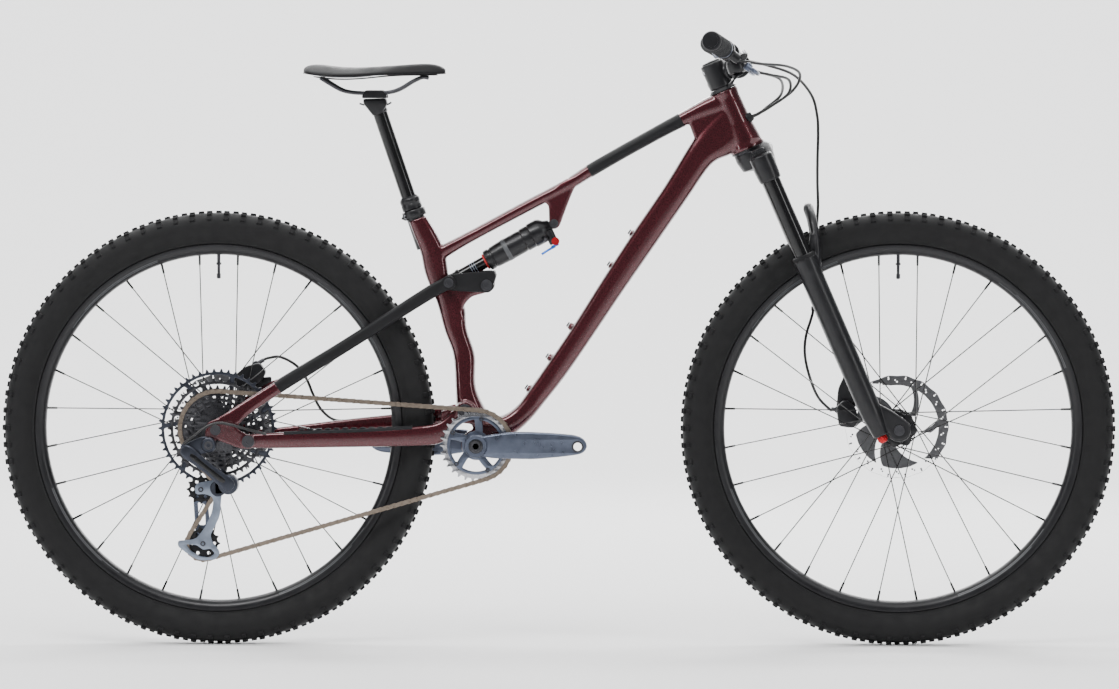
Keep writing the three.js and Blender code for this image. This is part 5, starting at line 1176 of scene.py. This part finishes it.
def derailleur():
    out = -ACROSS
    knuckle = at((-597, 350))
    arm = plate([(-589, 360), (-606, 366), (-630, 356), (-646, 345), (-645, 331), (-628, 327),
        (-600, 337), (-590, 342)], (7, 4), -93.6, -84.8, (), 2.2, 2)
    round_part = sideways(knuckle, [(0, -102), (10.4, -102), (12.6, -100), (13, -98), (13, -84.6),
        (12, -83.5), (0, -83.5)], 48)
    ear = sideways(at((LINK_TOP.x - 0.5, LINK_TOP.z + 3)), [(0, -98), (7.6, -98), (8.4, -97), (8.4, -88),
        (0, -88)], 32)
    ring = barrel(vec(-644, -97, 350), vec(-633, -96, 343), 4, 4.6, 0.8)
    make("derailleur_mount", merge(arm, round_part, ear, ring), DARK_ANODISED, "seatstay",
        ("derailleur_b_knuckle",))
    make("derailleur_mount_bolt", bolt(at((-597, 350), -101.8), out, 7.4, 1.6, 3.6), DARK_STEEL,
        "seatstay")
    outer = shaped_bar(LINK_TOP, LINK_BOTTOM, 24, 5.4, out, 3.2)
    make("derailleur_outer_arm", outer, DARK_ANODISED, "derailleur_outer_link",
        ("derailleur_outer_link",))
    ridge = shaped_bar(LINK_TOP.lerp(LINK_BOTTOM, 0.16), LINK_TOP.lerp(LINK_BOTTOM, 0.84), 9, 1.8, out,
        8.0)
    make("derailleur_outer_inlay", ridge, GLOSS, "derailleur_outer_link", slot="anodised_grey")
    step = (LINK_BOTTOM - LINK_TOP).normalized()
    inner = shaped_bar(LINK_TOP + step * 22, LINK_TOP + step * 54, 13, 4, out, -8)
    make("derailleur_inner_arm", inner, DARK_STEEL, "derailleur_inner_link", ("derailleur_inner_link",),
        slot="anodised_grey")
    lower = merge(sideways(at((-565, 281)), [(0, -84), (14, -84), (16.6, -82), (17.2, -78), (17.2, -56),
        (16, -52.4), (0, -52.4)], 56),
        sideways(CAGE_PIVOT, [(0, -62), (12.6, -62), (14, -60.6), (14, -47.6), (13, -46.6), (0, -46.6)],
        48), plate([(-590, 262), (-590, 288), (-566, 297), (-556, 286), (-560, 266)], 6, -62, -50, (),
        1.6))
    make("derailleur_knuckle_shell", lower, DARK_ANODISED, "derailleur_knuckle",
        ("derailleur_p_knuckle",))
    lever = sideways(at((-565, 281)), [(0, -86.2), (7.6, -86.2), (8.4, -85.4), (8.4, -83.6), (0, -83.6)],
        36)
    make("derailleur_clutch_cap", lever, DARK_STEEL, "derailleur_knuckle")
    outer_outline = [(-625, 281), (-586, 288), (-572, 275), (-579, 262), (-582, 224), (-599, 191),
        (-594, 178), (-581, 162), (-589, 149), (-618, 147), (-637, 158), (-655, 172), (-655, 182),
        (-624, 184), (-606, 208), (-595, 234), (-593, 257), (-608, 263), (-625, 261)]
    slots = [arc_outline([(-641, 176), (-633, 165), (-618, 155), (-600, 153), (-591, 160), (-598, 168),
        (-611, 166), (-622, 174)], 3)]
    outer_plate = cage_plate(outer_outline, slots, PULLEY_Y - 7.4, PULLEY_Y - 5)
    make("cage_outer_plate", outer_plate, PLATE, "derailleur_cage", ("derailleur_cage",))
    inner_outline = [(-624, 277), (-606, 279), (-598, 266), (-603, 240), (-599, 196), (-597, 170),
        (-606, 160), (-622, 164), (-625, 190), (-629, 252)]
    make("cage_inner_plate",
        cage_plate(inner_outline, [arc_outline([(-621, 248), (-609, 244), (-608, 208), (-619, 208)], 4)],
        PULLEY_Y + 4.8, PULLEY_Y + 6.8), ANODISED, "derailleur_cage", slot="plate_grey")
    for name, centre, teeth in (("guide", GUIDE_PULLEY, GUIDE_TEETH),
            ("tension", TENSION_PULLEY, TENSION_TEETH)):
        disc, bearing = pulley(centre, teeth)
        make(f"{name}_pulley_wheel", disc, PLASTIC, f"{name}_pulley", (f"{name}_pulley",))
        make(f"{name}_pulley_bearing", bearing, STEEL, f"{name}_pulley")
        pin = merge(bolt(centre + ACROSS * (PULLEY_Y - 7.3), out, 4.6, 1.8, 2.6),
            barrel(centre + ACROSS * (PULLEY_Y - 7), centre + ACROSS * (PULLEY_Y + 7), 3.4, segments=20))
        make(f"{name}_pulley_bolt", pin, DARK_STEEL, "derailleur_cage")


# ---------------------------------------------------------------- fork
def fork_point(y, down, forward=0.0):
    return STANCHION_TOP + HEAD_DOWN * down + HEAD_FORWARD * forward + ACROSS * y


def on_leg(shape, y):
    """Puts a shape turned about +Y on to a fork leg. Its height becomes the distance down the leg."""
    return aimed(shape, fork_point(y, 0), HEAD_DOWN)


def fork_crown():
    arch = tube([(*fork_point(y, d, f), r) for y, d, f, r in ((-66, 14, 0, 20), (-46, 4, 3, 19.5),
        (-24, -10, 5, 20), (0, -16, 6, 21), (24, -10, 5, 20), (46, 4, 3, 19.5), (66, 14, 0, 20))], 8, 24,
        squash=0.72, sideways=HEAD_FORWARD)
    sockets = [on_leg(lathe([(0, -9), (18.6, -9), (20.4, -7.4), (20.2, 20), (19, 36), (17.6, 38),
        (0, 38)], 48), y) for y in (-LEG_Y, LEG_Y)]
    column = spun(HEAD_BOTTOM, HEAD_DOWN, [(0, 4), (27.4, 4), (28, 5), (28.2, 16), (24, 34), (0, 40)], 48)
    make("fork_crown", fused(merge(arch, *sockets, column), 1.5, 5), SATIN, "steering", ("fork_upper",))
    race = spun(HEAD_BOTTOM, HEAD_DOWN, [(15, 0.6), (26.4, 0.6), (27.6, 1.4), (27.6, 4.4), (15, 4.4)], 56,
        closed=True)
    make("fork_crown_race", race, DARK_STEEL, "steering")
    legs = [on_leg(lathe([(0, -9), (15.9, -9), (15.9, 338), (0, 338)], 64), y) for y in (-LEG_Y, LEG_Y)]
    make("fork_stanchions", merge(*legs), GLOSS, "steering")
    cap = on_leg(lathe([(0, -14.6), (10.4, -14.6), (11.6, -13.6), (11.6, -10), (17, -9.4), (17, -7),
        (0, -7)], 40), LEG_Y)
    valve_cap = on_leg(lathe([(0, -22), (4.6, -22), (5.4, -21), (5.4, -14), (0, -14)], 28), LEG_Y)
    make("fork_air_cap", merge(cap, valve_cap), SATIN, "steering")
    steerer = spun(HEAD_TOP, HEAD_DOWN, [(0, -44), (14.2, -44), (14.2, 20), (19.6, 90), (0, 90)], 40)
    make("fork_steerer", steerer, DARK_STEEL, "steering")


def ridged(radius, depth, count):
    """An outline with `count` rounded ridges."""
    return [polar(radius + depth * math.cos(count * a), a) for a in around(count * 6)]


def knobs():
    knob = flat(ridged(12.2, 0.5, 20), 10.6, 17.2, (), 0.8)
    skirt = lathe([(0, 17), (11.4, 17), (11, 20), (9, 21.2), (0, 21.2)], 44)
    knob = moved(merge(knob, skirt), Matrix.Rotation(math.pi, 4, "Z"))
    make("fork_compression_knob", on_leg(knob, -LEG_Y), PLASTIC, "compression_knob",
        ("compression_knob",))
    rebound = merge(flat(ridged(8.2, 0.45, 14), 515.6, 524, (), 0.6),
        lathe([(0, 523.6), (7.6, 523.6), (7, 526), (5.4, 527), (0, 527)], 36))
    make("fork_rebound_knob", on_leg(rebound, -LEG_Y), RED, "rebound_knob", ("rebound_knob",))


def fork_lowers():
    parts = []
    for side in (-1, 1):
        leg = lathe([(0, 182), (19.6, 182), (20.6, 184), (20.6, 206), (19.8, 214), (19.6, 300),
            (19.4, 450), (18.4, 475), (15.4, 500), (13.4, 514.6), (0, 514.6)], 48)
        parts.append(on_leg(leg, side * LEG_Y))
        dropout = plate([(538, 428), (576, 408), (604, 388), (607, 366), (593, 355), (574, 357),
            (565, 376), (530, 398)], (8, 4), 56, 72, (), 3.4, 2)
        parts.append(dropout if side > 0 else mirrored(dropout))
    arch = tube([(*fork_point(y, d, f), r) for y, d, f, r in ((-64, 222, 6, 10), (-61, 195, 18, 9.6),
        (-54, 163, 30, 9.4), (-39, 131, 38, 10.2), (-18, 114, 40, 11), (0, 110, 40.5, 11.4),
        (18, 114, 40, 11), (39, 131, 38, 10.2), (54, 163, 30, 9.4), (61, 195, 18, 9.6),
        (64, 222, 6, 10))], 8, 24, squash=0.8)
    mount = plate([(499, 470), (521, 452), (512, 400), (481, 396), (485, 440)], (6, 3), 56, 68, (), 2.4)
    web = both(tube([(*fork_point(55, 150, 30), 5), (*fork_point(60, 190, 10), 7),
        (*fork_point(64, 226, 4), 6)], 5, 14))
    shape = fused(merge(*parts, arch, mount, web), 1.5, 5)
    make("fork_lower_casting", shape, SATIN, "fork_lowers", ("fork_lowers",))
    wipers = [on_leg(lathe([(16.1, 177), (18.2, 176.4), (20.4, 178), (20.8, 180), (20.8, 183),
        (16.1, 183)], 56, closed=True), y) for y in (-LEG_Y, LEG_Y)]
    make("fork_dust_wipers", merge(*wipers), LEATHER, "fork_lowers", slot="black_aluminium")
    axle = merge(sideways(FRONT, [(0, -75), (5.4, -75), (5.4, 75), (0, 75)], 32),
        bolt(FRONT - ACROSS * 72, -ACROSS, 9.2, 3.4, 3.6),
        sideways(FRONT, [(0, 72.2), (10, 72.2), (10.6, 73), (10.6, 77), (9.4, 79.6), (0, 79.6)], 40))
    make("front_axle_bolt", axle, DARK_STEEL, "fork_lowers", ("front_axle",))
    clip, root = vec(443, 90, 578), vec(456, 74, 572)
    guide = merge(barrel(clip - UP * 4, clip + UP * 4, 4.4, edge=0.8), barrel(clip, root, 3, edge=0.5))
    make("fork_hose_clip", guide, PLASTIC, "fork_lowers")


# ---------------------------------------------------------------- cockpit
BAR = [vec(310, 0, 1000), vec(310, 30, 1000), vec(304, 105, 1016), vec(262, 380, 1040.6)]
REACH = vec(0.8, 0, -0.6)
BELOW = vec(-0.6, 0, -0.8)
BRAKE_Y = 225
SHIFTER_Y = 168
GRIP_START = 245.6
GRIP_END = 384


def bar_point(y):
    """The bar's centre line at a distance out from the middle."""
    out = abs(y)
    a, b = next(((p, q) for p, q in zip(BAR, BAR[1:]) if q.y >= out), (BAR[-2], BAR[-1]))
    p = a.lerp(b, (out - a.y) / (b.y - a.y))
    return vec(p.x, math.copysign(out, y), p.z)


def bar_axis(y):
    """Unit vector along the bar, away from the middle."""
    step = math.copysign(4, y)
    return (bar_point(y + step) - bar_point(y - step)).normalized()


def handlebar():
    half = [(*bar_point(y), r) for y, r in ((0.01, 15.9), (26, 15.9), (40, 15.7), (62, 14), (84, 12.4),
        (105, 11.4), (150, 11.1), (250, 11.1), (381, 11.1))]
    full = [(x, -y, z, r) for x, y, z, r in half[:0:-1]] + half
    make("handlebar_tube", tube(full, 5, 40), SATIN, "steering", ("handlebar",))
    bands = []
    for y in (-72, 72):
        centre, axis = bar_point(y), bar_axis(y)
        bands.append(barrel(centre - axis * 3, centre + axis * 3, 13.6, edge=0.3))
    make("handlebar_bands", merge(*bands), STRIPE, "steering")


def stem():
    front = BAR[0]
    root = HEAD_TOP - HEAD_DOWN * 29
    clamp = spun(HEAD_TOP, HEAD_DOWN, [(0, -52), (18.8, -52), (20.4, -50.6), (20.4, -8), (19, -6.4),
        (0, -6.4)], 48)
    body = tube([(*root.lerp(front, 0.02), 17), (*root.lerp(front, 0.3), 16.2),
        (*root.lerp(front, 0.6), 18), (*root.lerp(front, 0.95), 21)], 6, 28, squash=0.95)
    cup = sideways(front, [(0, -26), (20.4, -26), (22, -24.6), (22, 24.6), (20.4, 26), (0, 26)], 48)
    make("stem_body", fused(merge(clamp, body, cup), 1.1, 4), SATIN, "steering", ("stem",))
    forward = (front - root).normalized()
    upright = ACROSS.cross(forward)
    heads = [bolt(front + forward * 17 + upright * (side * 16.5) + ACROSS * y, forward, 4.2, 5, 2.4)
        for side in (-1, 1) for y in (-18, 18)]
    back = -HEAD_FORWARD
    heads += [bolt(HEAD_TOP + HEAD_DOWN * d + back * 17.6 + ACROSS * y, back, 4, 3.4, 2.4)
        for d, y in ((-18, 6), (-40, -6))]
    cap = spun(HEAD_TOP, HEAD_DOWN, [(0, -55.4), (14, -55.4), (16.4, -54), (16.8, -52), (0, -52)], 48)
    heads.append(bolt(HEAD_TOP + HEAD_DOWN * -55, -HEAD_DOWN, 5, 1, 2.6))
    make("stem_bolts", merge(*heads), STEEL, "steering")
    make("stem_top_cap", cap, SATIN, "steering")
    spacer = spun(HEAD_TOP, HEAD_DOWN, [(14.4, -6), (20.4, -6), (21, -5.4), (24.8, -0.8), (24.8, -0.3),
        (14.4, -0.3)], 56, closed=True)
    make("stem_spacer", spacer, SATIN, "steering")


def grip(side):
    """A lock-on grip: collars, ribs and a closed end, riding on the bar."""
    inner, outer = bar_point(side * GRIP_START), bar_point(side * GRIP_END)
    axis = (outer - inner).normalized()
    ribs = [(11.3, 5), (14.6, 5)]
    rows = 24
    for k in range(rows):
        start = 7 + k * 4.85
        ribs += [(15.2, start), (16.5, start + 0.8), (16.5, start + 3.2), (15.2, start + 4)]
    ribs += [(15.6, 124.4), (16.2, 126), (16.6, 129), (16, 130.6), (11.3, 130.6)]
    name = "left" if side > 0 else "right"
    cover = spun(inner, axis, ribs, 56, closed=True)
    make(f"grip_{name}_cover", cover, GRIP, "steering", (f"grip_{name}",))
    collar = spun(inner, axis, [(11.2, -0.4), (15.6, -0.4), (16.6, 0.6), (16.6, 5.6), (15.6, 6.6),
        (11.2, 6.6)], 56, closed=True)
    clamp = bolt(inner + axis * 3 + BELOW * 14, BELOW, 3.4, 4.4, 2)
    make(f"grip_{name}_collar", merge(collar, clamp), ANODISED, "steering")
    plug = spun(inner, axis, [(0, 130), (15.6, 130), (16.4, 131), (16.4, 134), (14.8, 136.6), (0, 137.6)],
        48)
    make(f"grip_{name}_end", plug, PLASTIC, "steering", slot="grip_rubber")


def brake_control(side):
    """Master cylinder, clamp, lever and hose nut on one side of the bar."""
    name = "left" if side > 0 else "right"

    def spot(y, reach, lift=0.0):
        base = bar_point(side * BRAKE_Y)
        across = REACH.cross(ACROSS)
        return vec(base.x, side * y, base.z) + REACH * reach + across * lift

    def spots(*stations):
        return [(*spot(*s[:-1]), s[-1]) for s in stations]

    clamp_axis = bar_axis(side * BRAKE_Y)
    middle = bar_point(side * BRAKE_Y)
    up = spot(0, 0, 1) - spot(0, 0, 0)
    ring = barrel(middle - clamp_axis * 8, middle + clamp_axis * 8, 17, edge=1.2)
    cylinder = tube(spots((186, 32, 6), (190, 32, 9), (205, 32, 9.6), (226, 32, 10.4), (236, 32, 9),
        (239, 32, 6)), 5, 28)
    neck = tube(spots((225, 8, 9), (224, 30, 8.4)), 4, 20)
    tank = tube(spots((196, 33, 9, 5), (200, 33, 10, 7), (226, 33, 10, 7.4), (230, 33, 9, 5)), 5, 20,
        squash=0.8)
    body = fused(merge(ring, cylinder, neck, tank), 1.0, 4)
    make(f"brake_{name}_body", body, SATIN, "steering", (f"brake_body_{name}",))
    heads = [bolt(middle + REACH * 14 + BELOW * 8, BELOW, 3.6, 3, 2.2), bolt(spot(206, 33, 16.4), up, 2.4,
        1.2), bolt(spot(222, 33, 16.6), up, 2.4, 1.2)]
    nut = tube(spots((184, 32, 4.4), (176, 33, 4.2), (172, 34, 3.4)), 4, 16)
    make(f"brake_{name}_fittings", merge(*heads, nut), DARK_STEEL, "steering")
    blade = tube(spots((224, 46, 5), (228, 49, 5.6), (241, 62, 5.0), (258, 66, 4.8), (290, 67, 5),
        (318, 66, 5.4), (333, 61, 5.8), (338, 57, 4.6)), 8, 20, squash=0.72)
    hub = barrel(spot(227, 49, -6.4), spot(227, 49, 6.4), 6.2, edge=0.8)
    make(f"brake_{name}_blade", fused(merge(blade, hub), 0.8, 3), ANODISED, f"brake_lever_{name}",
        (f"brake_lever_{name}",))
    pin = merge(bolt(spot(227, 49, 6.2), up, 2.8, 1.4), bolt(spot(227, 49, -6.2), -up, 2.8, 1.4))
    make(f"brake_{name}_pin", pin, STEEL, f"brake_lever_{name}")


def shifter():
    """Shift pod under the right end of the bar with its thumb paddle, and the dropper remote."""
    centre = bar_point(-SHIFTER_Y)
    axis = bar_axis(-SHIFTER_Y)
    ring = barrel(centre - axis * 7, centre + axis * 7, 16.6, edge=1)
    pod = tube(trail(centre, (7, 3, -12, 9), (8, 3, -16, 15), (12, 4, -26, 16.4), (14, 4, -32, 15.4),
        (14.6, 4, -34, 13)), 5, 32)
    barrel_end = barrel(centre + vec(14, 10, -24), centre + vec(26, 20, -26), 4.2, 3.6, 0.8)
    make("shifter_case", fused(merge(ring, pod, barrel_end), 1.0, 4), SATIN, "steering", ("shifter_pod",))
    down = vec(0.3, 0.2, -0.93).normalized()
    hub = centre + vec(14.2, 4, -34.6)
    disc = barrel(hub + down * 0.4, hub + down * 3.6, 9, edge=0.8)
    blade = tube(trail(hub + down * 2, (0, 0, 0, 7), (-7, -14, -8, 4.2), (-12, -24, -15, 5.6),
        (-15, -29, -19, 5)), 6, 18, squash=0.5)
    make("shifter_paddle_blade", merge(disc, blade), PLASTIC, "shifter_paddle", ("shifter_paddle",))
    make("shifter_paddle_screw", bolt(hub + down * 3.4, down, 4, 1.4, 2), STEEL, "shifter_paddle")
    centre, axis = bar_point(SHIFTER_Y), bar_axis(SHIFTER_Y)
    ring = barrel(centre - axis * 5.5, centre + axis * 5.5, 15.4, edge=1)
    arm = tube(trail(centre, (3, 0, -10, 6), (6, 0, -20, 6.4), (8, 0, -26, 5.6)), 4, 18)
    make("dropper_remote_body", merge(ring, arm), SATIN, "steering")
    down = vec(0.16, 0, -0.99).normalized()
    hub = centre + vec(8.5, 0, -27.2)
    disc = barrel(hub + down * 0.4, hub + down * 4.4, 7, edge=0.8)
    blade = tube(trail(hub + down * 2.4, (0, 0, 0, 5), (-8, 12, -2, 4), (-14, 22, -3, 6),
        (-17, 27, -3, 4.6)), 6, 18, squash=0.5)
    make("dropper_lever_blade", merge(disc, blade), PLASTIC, "dropper_lever", ("dropper_lever",))


def cockpit():
    handlebar()
    stem()
    shifter()
    for side in (-1, 1):
        grip(side)
        brake_control(side)


# ---------------------------------------------------------------- hoses and cables
def line(name, points, node=None, body=None, radius=2.5):
    path = [(*p, radius) for p in points]
    return make(name, tube(path, 10, 14), HOSE, body, (node,) if node else ())


def lines():
    bar_lines = [[(306, -176, 1006), (312, -185, 1008), (345, -150, 1003), (392, -80, 999),
        (416, -30, 985), (404, -5, 957), (362, -8, 927), (347, -9, 919), (332, -9, 912)],
        [(318, -150, 994), (325, -150, 992), (365, -110, 984), (396, -62, 976), (396, -30, 952),
        (364, -16, 929), (347, -13, 919), (332, -12, 912)], [(306, 168, 998), (316, 162, 998),
        (352, 116, 988), (384, 60, 976), (384, 12, 950), (358, -3, 927), (347, -6, 918), (332, -6, 911)]]
    for k, points in enumerate(bar_lines):
        piece = line(f"bar_line_{k}", points, "bar_control_lines" if k == 0 else None)
        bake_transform(piece)
    hose = line("front_hose", [(317, 181, 1011), (322, 184, 1010), (362, 140, 1001), (408, 105, 984),
        (438, 85, 950), (448, 79, 915), (450, 78, 882), (449, 78, 838), (449, 80, 797), (450, 84, 752),
        (446, 90, 690), (444, 90, 630), (443, 90, 578), (430, 88, 531), (428, 84, 497), (436, 74, 460),
        (450, 60, 426), (470, 51, 405), (474, 50, 404)], "front_brake_hose")
    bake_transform(hose)
    rear = line("rear_hose", [(-290, 60, 386), (-300, 62, 385), (-360, 70, 383), (-392, 76, 384),
        (-415, 80, 402), (-429, 82, 428), (-440, 82, 454), (-458, 82, 478), (-485, 78, 493),
        (-504, 73, 492), (-514, 70, 489)], "rear_brake_hose")
    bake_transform(rear)
    line("shift_line", [(-500, -79, 368), (-521, -88, 374), (-542, -91, 380), (-560, -92, 385),
        (-580, -93, 388), (-600, -96, 382), (-622, -99, 366), (-634, -98, 357), (-640, -97, 352)],
        "shift_cable", "seatstay")


# ---------------------------------------------------------------- setting
def one_sided_white():
    """White from inside the studio, and clear from behind the wall."""
    made = bpy.data.materials.new("studio_white")
    made.use_nodes = True
    nodes, links = made.node_tree.nodes, made.node_tree.links
    surface = nodes["Principled BSDF"]
    surface.inputs["Base Color"].default_value = (0.84, 0.84, 0.84, 1)
    surface.inputs["Roughness"].default_value = 0.7
    side = nodes.new("ShaderNodeNewGeometry")
    clear = nodes.new("ShaderNodeBsdfTransparent")
    either = nodes.new("ShaderNodeMixShader")
    links.new(side.outputs["Backfacing"], either.inputs["Fac"])
    links.new(clear.outputs["BSDF"], either.inputs[1])
    links.new(surface.outputs["BSDF"], either.inputs[2])
    links.new(either.outputs["Shader"], nodes["Material Output"].inputs["Surface"])
    return made


def backdrop():
    """A pale floor that curves up into a wall far behind the bike."""
    across, front, back, bend = 14.0, -14.0, 7.0, 3.0
    section = [(front, 0.0), (0.0, 0.0), (back - bend, 0.0)]
    section += [(back - bend + bend * math.sin(a), bend - bend * math.cos(a))
        for a in (math.pi / 2 * k / 16 for k in range(1, 17))]
    section.append((back, 11.0))
    rings = [[vec(x, y, z) / MM for y, z in section] for x in (-across, across)]
    points = [p for ring in rings for p in ring]
    n = len(section)
    faces = [[i, i + 1, n + i + 1, n + i] for i in range(n - 1)]
    floor = make("studio_floor", (points, faces), one_sided_white(), None)


camera()
studio()
backdrop()
wheels()
front_triangle()
cable_port()
seat_post()
saddle()
chainstays()
seatstays()
brakes()
rocker()
shock()
cranks()
cassette()
chain()
derailleur()
fork_crown()
knobs()
fork_lowers()
cockpit()
lines()
